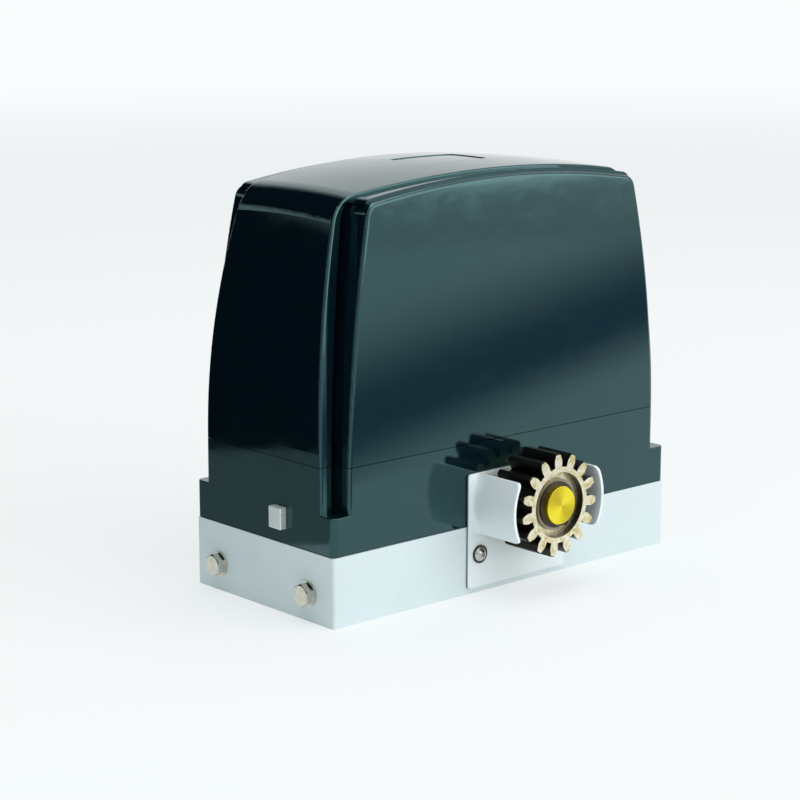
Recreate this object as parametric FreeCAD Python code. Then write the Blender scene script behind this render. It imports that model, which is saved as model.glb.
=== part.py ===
import FreeCAD, Part
import math
import os

V = FreeCAD.Vector

# Sliding gate motor: a rack-and-pinion gate operator on a ground plate.
# +Z is up, +X runs along the gate and the pinion faces -Y.
# The origin is the centre of the ground plate's underside. All sizes are in millimetres.

# ---------------------------------------------------------------- driving sizes
BODY_LENGTH = 300.0
BODY_WIDTH = 138.0
BASE_HEIGHT = 45.0
BASE_SHEET = 3.0
BASE_CORNER = 2.0

SKIRT_TOP = 70.0            # height of the ledge at the foot of the four corner grooves
PARTING_HEIGHT = 100.0      # height of the joint between lower housing and bonnet
PARTING_GAP = 0.4
PLASTIC_WALL = 3.0
LIP_DEPTH = 8.0
LIP_WALL = 2.0
LIP_CLEARANCE = 0.35

END_STRAIGHT_TOP = 108.0    # the end faces stand upright up to here, then lean in on an arc
END_RADIUS = 515.0
TOP_HEIGHT = 274.5
TOP_RADIUS = 720.0          # arch of the top along the body
CROWN_RADIUS = 800.0        # crown of the top across the body
END_CORNER_RADIUS = 24.0

BAND_INSET = 11.5           # the end faces are narrower than the body by this much on each side
BAND_STRAIGHT_TOP = 80.0
BAND_RADIUS = 1380.0
BAND_EDGE_RADIUS = 2.0

PANEL_INSET = 13.0          # the side panels stop short of each end by this much
PANEL_STRAIGHT_TOP = 80.0
PANEL_RADIUS = 830.0
PANEL_STEP = 5.7            # how far the side panels stop below the crown of the top
PANEL_CORNER_RADIUS = 9.0
PANEL_EDGE_RADIUS = 2.5
FACE_STRAIGHT_TOP = 130.0
FACE_RADIUS = 2400.0

GROOVE_WIDTH = 4.5
GROOVE_DEPTH = 5.5
GROOVE_STEP = 12.5

RIM_STEP = 3.5
RIM_THICKNESS = 2.6
RIM_SETBACK = 8.0
CAP_SETBACK = 15.5
CAP_BOW_RADIUS = 1090.0     # the long edges of the top bow out to run on from the end bands
CAP_THICKNESS = 3.4
CAP_EDGE_RADIUS = 1.2

BADGE_LENGTH = 56.0
BADGE_WIDTH = 36.0
BADGE_DEPTH = 0.5

# output shaft and pinion
AXIS_HEIGHT = 60.0
AXIS_OFFSET = 6.0           # the output shaft stands this far right of the body's middle
PINION_MODULE = 4.0
PINION_TEETH = 15
PINION_WIDTH = 30.0
PINION_REACH = 40.0         # from the body's front face to the pinion's outer face
PINION_PHASE = 2.9          # degrees by which one tooth leans from the top
PINION_RECESS_RADIUS = 21.5
PINION_RECESS_DEPTH = 5.0
SHAFT_PROUD = 2.0           # the shaft end stands this far out of the pinion
SHAFT_END_CHAMFER = 0.5
SHAFT_END_RADIUS = 12.5
SHAFT_RADIUS = 15.0
SHAFT_TAIL_RADIUS = 10.0
SPLINE_RADIUS = 17.0
SPLINE_COUNT = 6
RUNNING_GAP = 0.05
KEY_WIDTH = 8.0
KEY_DEPTH = 4.0
KEY_RISE = 3.0
RING_THICKNESS = 1.2
PINION_WASHER = 17.0

# worm drive
WORM_MODULE = 2.0
WHEEL_TEETH = 40
WHEEL_WIDTH = 16.0
WHEEL_FRONT = 2.0
WORM_PITCH_RADIUS = 10.0
WORM_LENGTH = 40.0
MESH_BACKLASH = 0.5
PRESSURE_ANGLE = 20.0

# clutch and release
RELEASE_Y = -18.0
RELEASE_HEIGHT = 62.0
RELEASE_HEAD_WIDTH = 12.0
RELEASE_HEAD_HEIGHT = 14.0
RELEASE_HEAD_DEPTH = 5.0
RELEASE_DISC = 4.0
RELEASE_SHAFT_RADIUS = 4.0
RELEASE_JOURNAL_RADIUS = 5.0
CLUTCH_TRAVEL = 5.0
CLUTCH_RADIUS = 25.0
CLUTCH_GROOVE_RADIUS = 20.0
CLUTCH_PIN_RADIUS = 2.2
CLUTCH_GROOVE_PLAY = 0.3
CLUTCH_FLANGE = 4.0
DOG_LENGTH = 4.0
DOG_COUNT = 4
DOG_PLAY = 0.4
DOG_INNER = 17.6

# gear case
CASE_WALL = 5.5
CASE_CLEARANCE = 2.5
BOSS_CLEARANCE = 0.5
CASE_DEPTH = 68.5           # outside depth of the gear chamber, without its cover
CASE_COVER_THICKNESS = 6.0
CASE_BOSS_RADIUS = 29.0
CASE_FLANGE = 5.0
CASE_FLANGE_X = (-80.0, 70.0)
CASE_FLANGE_SETBACK = 15.0
TOWER_CLEARANCE = 0.5
GASKET_THICKNESS = 0.8
TOWER_RADIUS = 20.0
TOWER_FOOT = 24.0
SEAL_WIDTH = 7.0
FRONT_BEARING = (15.0, 23.5, 9.0)
REAR_BEARING = (10.0, 18.5, 9.0)
WORM_BEARING = (5.0, 11.0, 6.0)
MOTOR_BEARING = (7.5, 17.5, 11.0)

# motor
MOTOR_SEAT = 118.0
MOTOR_SIDE_CLEARANCE = 9.5
MOTOR_WALL = 3.0
SHIELD_THICKNESS = 8.0
TUBE_LENGTH = 64.0
STATOR_LENGTH = 40.0
STATOR_WALL = 13.5
STATOR_SLOTS = 12
SLOT_WIDTH = 7.0
SLOT_WALL = 6.5
END_TURN_HEIGHT = 9.0
AIR_GAP = 0.5
ROTOR_SHAFT_RADIUS = 8.5
FIN_COUNT = 24
FIN_HEIGHT = 2.5
FIN_WIDTH = 2.4
TIE_BOLT_INSET = 6.2
TIE_BOLT_RADIUS = 2.0

# pinion guard
GUARD_WIDTH = 88.0
GUARD_BOTTOM = 4.0
GUARD_TOP = 80.0
GUARD_SHEET = 2.0
GUARD_CORNER = 2.0
WING_RADIUS = 39.0
WING_SHEET = 2.0
WING_HEIGHT = 39.5
WING_CORNER = 3.5
WING_BEND = 2.4
GUARD_HOLE = 17.5
GUARD_SCREW_SPACING = 68.6
GUARD_SCREW_HEIGHT = 26.0

# ground plate and bolts
PLATE_THICKNESS = 5.0
PLATE_WIDTH = 110.0
PLATE_FLANGE_TOP = 32.0
ANCHOR_SPACING_X = 220.0
ANCHOR_SPACING_Y = 70.0
ANCHOR_SLOT_WIDTH = 11.0
ANCHOR_SLOT_LENGTH = 30.0
END_BOLT_SPACING = 90.0
END_BOLT_HEIGHT = 18.0
M8_RADIUS = 4.0
M8_HOLE = 4.5
M8_FLATS = 13.0
M8_HEAD_HEIGHT = 5.3
M8_WASHER = 8.0
M8_WASHER_THICKNESS = 1.6
M8_NUT_HEIGHT = 6.5
M5_RADIUS = 2.5
M5_HOLE = 2.75
M4_RADIUS = 2.0
M4_HEAD = 3.8

# lower housing and bonnet fixings
FLOOR_RIM_X = 14.0
FLOOR_RIM_Y = 9.0
HOUSING_SCREW_X = 140.0
HOUSING_SCREW_Y = 38.0
SHAFT_OPENING = 18.0
BONNET_SCREW_X = 90.0
BONNET_SCREW_Z = 96.0

# electronics
BRACKET_X = 72.0
BRACKET_SHEET = 2.0
BRACKET_TOP = 214.0
BOARD_WIDTH = 100.0
BOARD_HEIGHT = 112.0
BOARD_BOTTOM = 98.0
BOARD_THICKNESS = 1.6
STANDOFF = 6.0
CAPACITOR_X = 47.0
CAPACITOR_RADIUS = 20.0
CAPACITOR_BOTTOM = 120.0
CAPACITOR_LENGTH = 80.0
BUTTON_TRAVEL = 1.0
CABLE_HOLE = 10.0
CABLE_X = 112.0
CABLE_Y = 0.0

# ---------------------------------------------------------------- worked-out sizes
HALF_L = BODY_LENGTH / 2
HALF_W = BODY_WIDTH / 2
FRONT = -HALF_W
PINION_RADIUS = PINION_MODULE * PINION_TEETH / 2
PINION_TIP = PINION_RADIUS + PINION_MODULE
PINION_FRONT = FRONT - PINION_REACH
PINION_BACK = PINION_FRONT + PINION_WIDTH
WHEEL_RADIUS = WORM_MODULE * WHEEL_TEETH / 2
WHEEL_TIP = WHEEL_RADIUS + WORM_MODULE
WHEEL_ROOT = WHEEL_RADIUS - 1.2 * WORM_MODULE
WORM_TIP = WORM_PITCH_RADIUS + WORM_MODULE
WORM_ROOT = WORM_PITCH_RADIUS - 1.2 * WORM_MODULE
WORM_LEAD = math.pi * WORM_MODULE
WORM_X = AXIS_OFFSET - WHEEL_RADIUS - WORM_PITCH_RADIUS
WORM_Y = WHEEL_FRONT + WHEEL_WIDTH / 2
CASE_BORE = WHEEL_TIP + CASE_CLEARANCE
CASE_RADIUS = CASE_BORE + CASE_WALL
CASE_REAR = WORM_Y + TOWER_RADIUS + TOWER_CLEARANCE
CASE_FRONT = CASE_REAR - CASE_DEPTH
CASE_BOSS_FRONT = FRONT + BASE_SHEET + BOSS_CLEARANCE
CASE_FLANGE_Y = (FRONT + CASE_FLANGE_SETBACK, HALF_W - CASE_FLANGE_SETBACK)
CASE_INSIDE = CASE_FRONT + CASE_WALL
COVER_FRONT = CASE_REAR + GASKET_THICKNESS
COVER_BACK = COVER_FRONT + CASE_COVER_THICKNESS
MOTOR_RADIUS = HALF_W - PLASTIC_WALL - WORM_Y - MOTOR_SIDE_CLEARANCE
STATOR_BORE = MOTOR_RADIUS - MOTOR_WALL - STATOR_WALL
SLOT_OUTER = MOTOR_RADIUS - MOTOR_WALL - SLOT_WALL
TIE_BOLT_CIRCLE = MOTOR_RADIUS - TIE_BOLT_INSET
PANEL_TOP = TOP_HEIGHT - PANEL_STEP
GROOVE_TOP = TOP_HEIGHT - GROOVE_STEP
RIM_TOP = TOP_HEIGHT - RIM_STEP
TUBE_BOTTOM = MOTOR_SEAT + SHIELD_THICKNESS
TUBE_TOP = TUBE_BOTTOM + TUBE_LENGTH
MOTOR_TOP = TUBE_TOP + SHIELD_THICKNESS
STATOR_BOTTOM = (TUBE_BOTTOM + TUBE_TOP - STATOR_LENGTH) / 2
ROTOR_RADIUS = STATOR_BORE - AIR_GAP
PIN_ARM = CLUTCH_TRAVEL / math.sqrt(2)
BOARD_X = BRACKET_X + BRACKET_SHEET + STANDOFF
FLOOR_TOP = BASE_HEIGHT + PLASTIC_WALL
GUARD_FRONT = FRONT - GUARD_SHEET


# ---------------------------------------------------------------- helpers
def box(x0, x1, y0, y1, z0, z1):
    return Part.makeBox(x1 - x0, y1 - y0, z1 - z0, V(x0, y0, z0))


def cyl_x(y, z, radius, x0, x1):
    return Part.makeCylinder(radius, x1 - x0, V(x0, y, z), V(1, 0, 0))


def cyl_y(x, z, radius, y0, y1):
    return Part.makeCylinder(radius, y1 - y0, V(x, y0, z), V(0, 1, 0))


def cyl_z(x, y, radius, z0, z1):
    return Part.makeCylinder(radius, z1 - z0, V(x, y, z0), V(0, 0, 1))


def union(shapes):
    first = shapes[0]
    return first.fuse(list(shapes[1:])).removeSplitter() if len(shapes) > 1 else first


def group(shapes):
    return Part.makeCompound(list(shapes))


def fillet(shape, radius, wanted):
    """Round the edges of a shape whose middle point and length pass the test."""
    edges = [edge for edge in shape.Edges if wanted(edge.CenterOfMass, edge)]
    return shape.makeFillet(radius, edges)


def hexagon_prism(across_flats, height):
    corner = across_flats / math.sqrt(3)
    points = [V(corner * math.cos(math.radians(60 * i)), corner * math.sin(math.radians(60 * i)), 0)
              for i in range(7)]
    return Part.Face(Part.makePolygon(points)).extrude(V(0, 0, height))


def hex_head(across_flats, height):
    """A hexagon head with its outer corners turned down, standing on Z = 0."""
    cone_height = height + across_flats
    cone = Part.makeCone(across_flats * 0.48 + cone_height * 1.9, across_flats * 0.48, cone_height)
    cone.translate(V(0, 0, height - cone_height))
    return hexagon_prism(across_flats, height).common(cone)


def hex_bolt(radius, length, across_flats, head_height):
    """The head stands on Z = 0 and the shank hangs below it."""
    shank = Part.makeCylinder(radius, length, V(0, 0, -length))
    tip = [e for e in shank.Edges if abs(e.CenterOfMass.z + length) < 1e-6 and e.Length > radius]
    shank = shank.makeChamfer(radius * 0.15, tip)
    return hex_head(across_flats, head_height).fuse(shank).removeSplitter()


def hex_nut(radius, across_flats, height):
    return hex_head(across_flats, height).cut(Part.makeCylinder(radius, height))


def socket_screw(radius, length, head_radius, head_height, socket):
    """A domed head with a hexagon socket on Z = 0, shank below."""
    dome_radius = (head_radius ** 2 + head_height ** 2) / (2 * head_height)
    dome = Part.makeSphere(dome_radius, V(0, 0, head_height - dome_radius))
    head = Part.makeCylinder(head_radius, head_height).common(dome)
    recess = hexagon_prism(socket, head_height)
    recess.translate(V(0, 0, head_height * 0.35))
    shank = Part.makeCylinder(radius, length, V(0, 0, -length))
    return head.cut(recess).fuse(shank).removeSplitter()


def pan_screw(radius, length, head_radius, head_height):
    """A pan head with a cross slot on Z = 0, shank below."""
    head = Part.makeCylinder(head_radius, head_height)
    head = fillet(head, head_height * 0.45, lambda c, e: c.z > head_height * 0.9 and e.Length > head_radius)
    slot = box(-head_radius * 0.6, head_radius * 0.6, -0.5, 0.5, head_height * 0.5, head_height)
    cross = slot.fuse(slot.rotated(V(0, 0, 0), V(0, 0, 1), 90))
    shank = Part.makeCylinder(radius, length, V(0, 0, -length))
    return head.cut(cross).fuse(shank).removeSplitter()


def washer(outer, inner, thickness):
    return Part.makeCylinder(outer, thickness).cut(Part.makeCylinder(inner, thickness))


def placed(shape, at, towards=(0, 0, 1)):
    """Turn a shape's own Z to a direction and move its origin to a point."""
    moved = shape.copy()
    turn = FreeCAD.Rotation(V(0, 0, 1), V(*towards))
    moved.Placement = FreeCAD.Placement(V(*at), turn).multiply(shape.Placement)
    return moved


def bearing(bore, outer, width):
    """Outer ring with its shields, and inner ring, along Z from 0."""
    inner_ring = washer(bore + (outer - bore) * 0.28, bore, width)
    shield_bore = bore + (outer - bore) * 0.28 + RUNNING_GAP
    outer_ring = washer(outer, outer - (outer - bore) * 0.26, width)
    shield_outer = outer - (outer - bore) * 0.2
    shields = [washer(shield_outer, shield_bore, 0.8), washer(shield_outer, shield_bore, 0.8)]
    shields[1].translate(V(0, 0, width - 0.8))
    return union([outer_ring] + shields), inner_ring


def save(name, shape):
    if not shape.isValid():
        raise RuntimeError(name + " is not a valid shape")
    shape.exportStep("parts/" + name + ".step")
    print("%-26s solids %2d  volume %10.1f" % (name, len(shape.Solids), shape.Volume))


# ---------------------------------------------------------------- bonnet form
def meeting_point(centre_a, radius_a, centre_b, radius_b):
    """The right-hand, upper crossing of two circles in the XZ plane."""
    dx = centre_b[0] - centre_a[0]
    dz = centre_b[1] - centre_a[1]
    apart = math.hypot(dx, dz)
    along = (apart ** 2 + radius_a ** 2 - radius_b ** 2) / (2 * apart)
    across = math.sqrt(radius_a ** 2 - along ** 2)
    foot = (centre_a[0] + along * dx / apart, centre_a[1] + along * dz / apart)
    picks = [(foot[0] - s * across * dz / apart, foot[1] + s * across * dx / apart) for s in (1, -1)]
    return max(picks, key=lambda point: point[0] + point[1])


def arch_prism(half_length, straight_top, side_radius, top, corner_radius, half_width):
    """Arched outline in XZ, leaning in at both ends, swept across the body."""
    side_centre = (half_length - side_radius, straight_top)
    arch_centre = (0.0, top - TOP_RADIUS)
    corner = meeting_point(side_centre, side_radius, arch_centre, TOP_RADIUS)
    lean = math.atan2(corner[1] - side_centre[1], corner[0] - side_centre[0]) / 2
    side_mid = (side_centre[0] + side_radius * math.cos(lean), side_centre[1] + side_radius * math.sin(lean))
    y = -half_width
    foot = V(half_length, y, BASE_HEIGHT)
    knee = V(half_length, y, straight_top)
    right = V(corner[0], y, corner[1])
    left = V(-corner[0], y, corner[1])
    edges = [
        Part.makeLine(V(-half_length, y, BASE_HEIGHT), foot),
        Part.makeLine(foot, knee),
        Part.Arc(knee, V(side_mid[0], y, side_mid[1]), right).toShape(),
        Part.Arc(right, V(0, y, top), left).toShape(),
        Part.Arc(left, V(-side_mid[0], y, side_mid[1]), V(-half_length, y, straight_top)).toShape(),
        Part.makeLine(V(-half_length, y, straight_top), V(-half_length, y, BASE_HEIGHT)),
    ]
    prism = Part.Face(Part.Wire(edges)).extrude(V(0, 2 * half_width, 0))
    if corner_radius > 0:
        prism = fillet(prism, corner_radius,
                       lambda c, e: abs(abs(c.x) - corner[0]) < 0.01 and abs(c.z - corner[1]) < 0.01)
    return prism


def lean_prism(half_width, straight_top, radius):
    """Outline in YZ that stands upright, then leans in on an arc, swept along the body."""
    reach = math.sqrt(radius ** 2 - (radius - half_width) ** 2) if radius > half_width else radius
    height = min(TOP_HEIGHT + 20.0, straight_top + reach * 0.9)
    rise = height - straight_top
    x = -HALF_L - 20.0

    def side(z):
        return half_width - radius + math.sqrt(radius ** 2 - z ** 2)

    edges = [
        Part.makeLine(V(x, -half_width, BASE_HEIGHT), V(x, half_width, BASE_HEIGHT)),
        Part.makeLine(V(x, half_width, BASE_HEIGHT), V(x, half_width, straight_top)),
        Part.Arc(V(x, half_width, straight_top), V(x, side(rise / 2), straight_top + rise / 2),
                 V(x, side(rise), height)).toShape(),
        Part.makeLine(V(x, side(rise), height), V(x, -side(rise), height)),
        Part.Arc(V(x, -side(rise), height), V(x, -side(rise / 2), straight_top + rise / 2),
                 V(x, -half_width, straight_top)).toShape(),
        Part.makeLine(V(x, -half_width, straight_top), V(x, -half_width, BASE_HEIGHT)),
    ]
    return Part.Face(Part.Wire(edges)).extrude(V(-2 * x, 0, 0))


def crown_barrel():
    """Solid whose top is arched along the body and crowned across it."""
    reach = HALF_W + 10.0
    drop = CROWN_RADIUS - math.sqrt(CROWN_RADIUS ** 2 - reach ** 2)
    edge_z = TOP_HEIGHT - drop
    low = BASE_HEIGHT - 40.0
    edges = [
        Part.Arc(V(0, -reach, edge_z), V(0, 0, TOP_HEIGHT), V(0, reach, edge_z)).toShape(),
        Part.makeLine(V(0, reach, edge_z), V(0, reach, low)),
        Part.makeLine(V(0, reach, low), V(0, -reach, low)),
        Part.makeLine(V(0, -reach, low), V(0, -reach, edge_z)),
    ]
    swing = math.degrees(math.atan((HALF_L + 30.0) / (BASE_HEIGHT - TOP_HEIGHT + TOP_RADIUS)))
    section = Part.Face(Part.Wire(edges))
    axis_point = V(0, 0, TOP_HEIGHT - TOP_RADIUS)
    section.rotate(axis_point, V(0, 1, 0), -swing)
    return section.revolve(axis_point, V(0, 1, 0), 2 * swing)


def panel_prism(inset, extra, half_width):
    """Side panel outline, grown towards the ends by extra and shrunk all round by inset."""
    corner = max(PANEL_CORNER_RADIUS - inset + extra, 1.0)
    return arch_prism(HALF_L - PANEL_INSET - inset + extra, PANEL_STRAIGHT_TOP,
                      PANEL_RADIUS - inset + extra, PANEL_TOP - inset, corner, half_width)


def corner_grooves(inset):
    """Four upright grooves between the end bands and the side panels, grown by inset."""
    beside_panel = panel_prism(0.0, GROOVE_WIDTH + inset, HALF_W)
    beside_panel = beside_panel.cut(panel_prism(inset, 0.0, HALF_W))
    half_band = HALF_W - BAND_INSET
    ring = lean_prism(half_band + 2.0, BAND_STRAIGHT_TOP, BAND_RADIUS)
    ring = ring.cut(lean_prism(half_band - GROOVE_DEPTH - inset, BAND_STRAIGHT_TOP, BAND_RADIUS))
    span = box(-HALF_L, HALF_L, -HALF_W, HALF_W, SKIRT_TOP - inset, GROOVE_TOP + inset)
    return beside_panel.common(ring).common(span)


def inner_form(inset):
    """The housing's inside, a plain offset of its outside by inset."""
    core = arch_prism(HALF_L - inset, END_STRAIGHT_TOP, END_RADIUS - inset,
                      TOP_HEIGHT - CAP_THICKNESS - inset, END_CORNER_RADIUS - inset, HALF_W)
    core = core.common(lean_prism(HALF_W - BAND_INSET - inset, BAND_STRAIGHT_TOP, BAND_RADIUS))
    core = core.cut(corner_grooves(inset))
    slab = panel_prism(inset, 0.0, HALF_W)
    slab = slab.common(lean_prism(HALF_W - inset, FACE_STRAIGHT_TOP, FACE_RADIUS))
    return core.fuse(slab)


def bowed_block(half_width, radius):
    """Upright block over the body's length whose long sides bow outwards."""
    sag = HALF_L ** 2 / (2 * radius)
    end = half_width - sag
    edges = [
        Part.Arc(V(-HALF_L, -end, BASE_HEIGHT), V(0, -half_width, BASE_HEIGHT),
                 V(HALF_L, -end, BASE_HEIGHT)).toShape(),
        Part.makeLine(V(HALF_L, -end, BASE_HEIGHT), V(HALF_L, end, BASE_HEIGHT)),
        Part.Arc(V(HALF_L, end, BASE_HEIGHT), V(0, half_width, BASE_HEIGHT),
                 V(-HALF_L, end, BASE_HEIGHT)).toShape(),
        Part.makeLine(V(-HALF_L, end, BASE_HEIGHT), V(-HALF_L, -end, BASE_HEIGHT)),
    ]
    return Part.Face(Part.Wire(edges)).extrude(V(0, 0, TOP_HEIGHT))


def outer_form():
    """The housing's outside above the base: end bands, side panels, rim, cap and grooves."""
    barrel = crown_barrel()
    core = arch_prism(HALF_L, END_STRAIGHT_TOP, END_RADIUS, TOP_HEIGHT + 6.0, 0.0, HALF_W)
    core = core.common(barrel)
    core = fillet(core, END_CORNER_RADIUS,
                  lambda c, e: c.z > TOP_HEIGHT - 37 and abs(c.x) > HALF_L - 60 and abs(c.y) < 1.0)
    cap = core.common(bowed_block(HALF_W - CAP_SETBACK, CAP_BOW_RADIUS))
    cap = cap.cut(arch_prism(HALF_L + 5, END_STRAIGHT_TOP, END_RADIUS, TOP_HEIGHT - 2.5 - CAP_THICKNESS,
                             0.0, HALF_W))
    rim = arch_prism(HALF_L - PANEL_INSET, PANEL_STRAIGHT_TOP, PANEL_RADIUS, RIM_TOP, PANEL_CORNER_RADIUS,
                     HALF_W - RIM_SETBACK)
    rim = rim.cut(arch_prism(HALF_L + 5, END_STRAIGHT_TOP, END_RADIUS, RIM_TOP - RIM_THICKNESS,
                             0.0, HALF_W))
    band = core.common(lean_prism(HALF_W - BAND_INSET, BAND_STRAIGHT_TOP, BAND_RADIUS))
    slab = panel_prism(0.0, 0.0, HALF_W)
    slab = slab.common(lean_prism(HALF_W, FACE_STRAIGHT_TOP, FACE_RADIUS))
    return core, cap, rim, band, slab


def slice_z(shape, z0, z1):
    return shape.common(box(-HALF_L - 5, HALF_L + 5, -HALF_W - 5, HALF_W + 5, z0, z1))


# ---------------------------------------------------------------- base
def base_frame():
    outer = box(-HALF_L, HALF_L, -HALF_W, HALF_W, 0, BASE_HEIGHT)
    outer = fillet(outer, BASE_CORNER, lambda c, e: abs(c.z - BASE_HEIGHT / 2) < 0.1)
    inner = box(-HALF_L + BASE_SHEET, HALF_L - BASE_SHEET, -HALF_W + BASE_SHEET, HALF_W - BASE_SHEET,
                -1, BASE_HEIGHT - BASE_SHEET)
    frame = outer.cut(inner)
    deck = (BASE_HEIGHT - BASE_SHEET - 1, BASE_HEIGHT + 1)
    cuts = [
        box(CASE_FLANGE_X[0] + 12, CASE_FLANGE_X[1] - 12, CASE_FRONT - 0.5, CASE_FLANGE_Y[1] - 6, *deck),
        box(AXIS_OFFSET - CASE_BOSS_RADIUS - 2, AXIS_OFFSET + CASE_BOSS_RADIUS + 2,
            FRONT + BASE_SHEET, CASE_FRONT, *deck),
        cyl_y(AXIS_OFFSET, AXIS_HEIGHT, SHAFT_OPENING, FRONT - 1, FRONT + BASE_SHEET + 1),
        cyl_z(CABLE_X, CABLE_Y, CABLE_HOLE, *deck),
    ]
    for side in (-1, 1):
        for y in (-END_BOLT_SPACING / 2, END_BOLT_SPACING / 2):
            cuts.append(cyl_x(y, END_BOLT_HEIGHT, M8_HOLE, side * HALF_L - 5, side * HALF_L + 5))
        screw_x = AXIS_OFFSET + side * GUARD_SCREW_SPACING / 2
        cuts.append(cyl_y(screw_x, GUARD_SCREW_HEIGHT, M5_HOLE, FRONT - 1, FRONT + BASE_SHEET + 1))
        for y in (-HOUSING_SCREW_Y, HOUSING_SCREW_Y):
            cuts.append(cyl_z(side * HOUSING_SCREW_X, y, M4_RADIUS, *deck))
    for x, y in case_bolt_places():
        cuts.append(cyl_z(x, y, M5_HOLE, *deck))
    return frame.cut(cuts)


def case_bolt_places():
    xs = (CASE_FLANGE_X[0] + 5.5, CASE_FLANGE_X[1] - 5.5)
    return [(x, y) for x in xs for y in (CASE_FLANGE_Y[0] + 12, CASE_FLANGE_Y[1] - 12)]


def ground_plate():
    half = HALF_L - BASE_SHEET
    plate = box(-half, half, -PLATE_WIDTH / 2, PLATE_WIDTH / 2, 0, PLATE_THICKNESS)
    parts = [plate]
    for side in (-1, 1):
        near, far = sorted((side * half, side * (half - PLATE_THICKNESS)))
        flange = box(near, far, -PLATE_WIDTH / 2, PLATE_WIDTH / 2, 0, PLATE_FLANGE_TOP)
        parts.append(fillet(flange, 8.0, lambda c, e: abs(abs(c.y) - PLATE_WIDTH / 2) < 0.1
                            and abs(c.z - PLATE_FLANGE_TOP) < 0.1))
    plate = union(parts)
    cuts = [cyl_z(CABLE_X, CABLE_Y, 1.6 * CABLE_HOLE, -1, PLATE_THICKNESS + 1)]
    for x in (-ANCHOR_SPACING_X / 2, ANCHOR_SPACING_X / 2):
        for y in (-ANCHOR_SPACING_Y / 2, ANCHOR_SPACING_Y / 2):
            cuts.append(anchor_slot(x, y))
    for side in (-1, 1):
        for y in (-END_BOLT_SPACING / 2, END_BOLT_SPACING / 2):
            cuts.append(cyl_x(y, END_BOLT_HEIGHT, M8_HOLE, side * half - 8, side * half + 8))
    return plate.cut(cuts)


def anchor_slot(x, y):
    half = (ANCHOR_SLOT_LENGTH - ANCHOR_SLOT_WIDTH) / 2
    radius = ANCHOR_SLOT_WIDTH / 2
    top = PLATE_THICKNESS + 1
    return union([box(x - half, x + half, y - radius, y + radius, -1, top),
                  cyl_z(x - half, y, radius, -1, top), cyl_z(x + half, y, radius, -1, top)])


def end_fasteners():
    bolts, washers, nuts = [], [], []
    outer = HALF_L + M8_WASHER_THICKNESS
    grip = M8_WASHER_THICKNESS + BASE_SHEET + PLATE_THICKNESS
    for side in (-1, 1):
        for y in (-END_BOLT_SPACING / 2, END_BOLT_SPACING / 2):
            out = (side, 0, 0)
            bolt = hex_bolt(M8_RADIUS, grip + M8_NUT_HEIGHT + 2, M8_FLATS, M8_HEAD_HEIGHT)
            bolts.append(placed(bolt, (side * outer, y, END_BOLT_HEIGHT), out))
            ring = washer(M8_WASHER, M8_RADIUS, M8_WASHER_THICKNESS)
            washers.append(placed(ring, (side * HALF_L, y, END_BOLT_HEIGHT), out))
            nut = hex_nut(M8_RADIUS, M8_FLATS, M8_NUT_HEIGHT)
            inner = side * (HALF_L - BASE_SHEET - PLATE_THICKNESS)
            nuts.append(placed(nut, (inner, y, END_BOLT_HEIGHT), (-side, 0, 0)))
    return bolts, washers, nuts


# ---------------------------------------------------------------- pinion guard
def bent_tube():
    """Tube round the output axis whose outside flares into the guard plate."""
    inner = AXIS_OFFSET + WING_RADIUS
    outer = inner + WING_SHEET
    z = AXIS_HEIGHT
    bend = GUARD_FRONT - WING_BEND
    slant = WING_BEND * (1 - math.sqrt(0.5))
    edges = [
        Part.makeLine(V(inner, PINION_FRONT, z), V(outer, PINION_FRONT, z)),
        Part.makeLine(V(outer, PINION_FRONT, z), V(outer, bend, z)),
        Part.Arc(V(outer, bend, z), V(outer + slant, bend + WING_BEND - slant, z),
                 V(outer + WING_BEND, bend + WING_BEND, z)).toShape(),
        Part.makeLine(V(outer + WING_BEND, bend + WING_BEND, z), V(outer + WING_BEND, GUARD_FRONT + 1, z)),
        Part.makeLine(V(outer + WING_BEND, GUARD_FRONT + 1, z), V(inner, GUARD_FRONT + 1, z)),
        Part.makeLine(V(inner, GUARD_FRONT + 1, z), V(inner, PINION_FRONT, z)),
    ]
    return Part.Face(Part.Wire(edges)).revolve(V(AXIS_OFFSET, 0, z), V(0, 1, 0), 360)


def pinion_guard():
    half = GUARD_WIDTH / 2
    plate = box(AXIS_OFFSET - half, AXIS_OFFSET + half, GUARD_FRONT, FRONT, GUARD_BOTTOM, GUARD_TOP)
    plate = fillet(plate, GUARD_CORNER, lambda c, e: abs(e.Length - GUARD_SHEET) < 0.01)
    band = box(AXIS_OFFSET - half, AXIS_OFFSET + half, PINION_FRONT, FRONT,
               AXIS_HEIGHT - WING_HEIGHT / 2, AXIS_HEIGHT + WING_HEIGHT / 2)
    wings = bent_tube().common(band)
    wings = fillet(wings, WING_CORNER, lambda c, e: abs(c.y - PINION_FRONT) < 0.01
                   and e.Length < WING_SHEET * 1.3)
    guard = union([plate, wings])
    cuts = [cyl_y(AXIS_OFFSET, AXIS_HEIGHT, GUARD_HOLE, GUARD_FRONT - 1, FRONT + 1)]
    for side in (-1, 1):
        screw_x = AXIS_OFFSET + side * GUARD_SCREW_SPACING / 2
        cuts.append(cyl_y(screw_x, GUARD_SCREW_HEIGHT, M5_HOLE, GUARD_FRONT - 1, FRONT + 1))
    return guard.cut(cuts)


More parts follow.
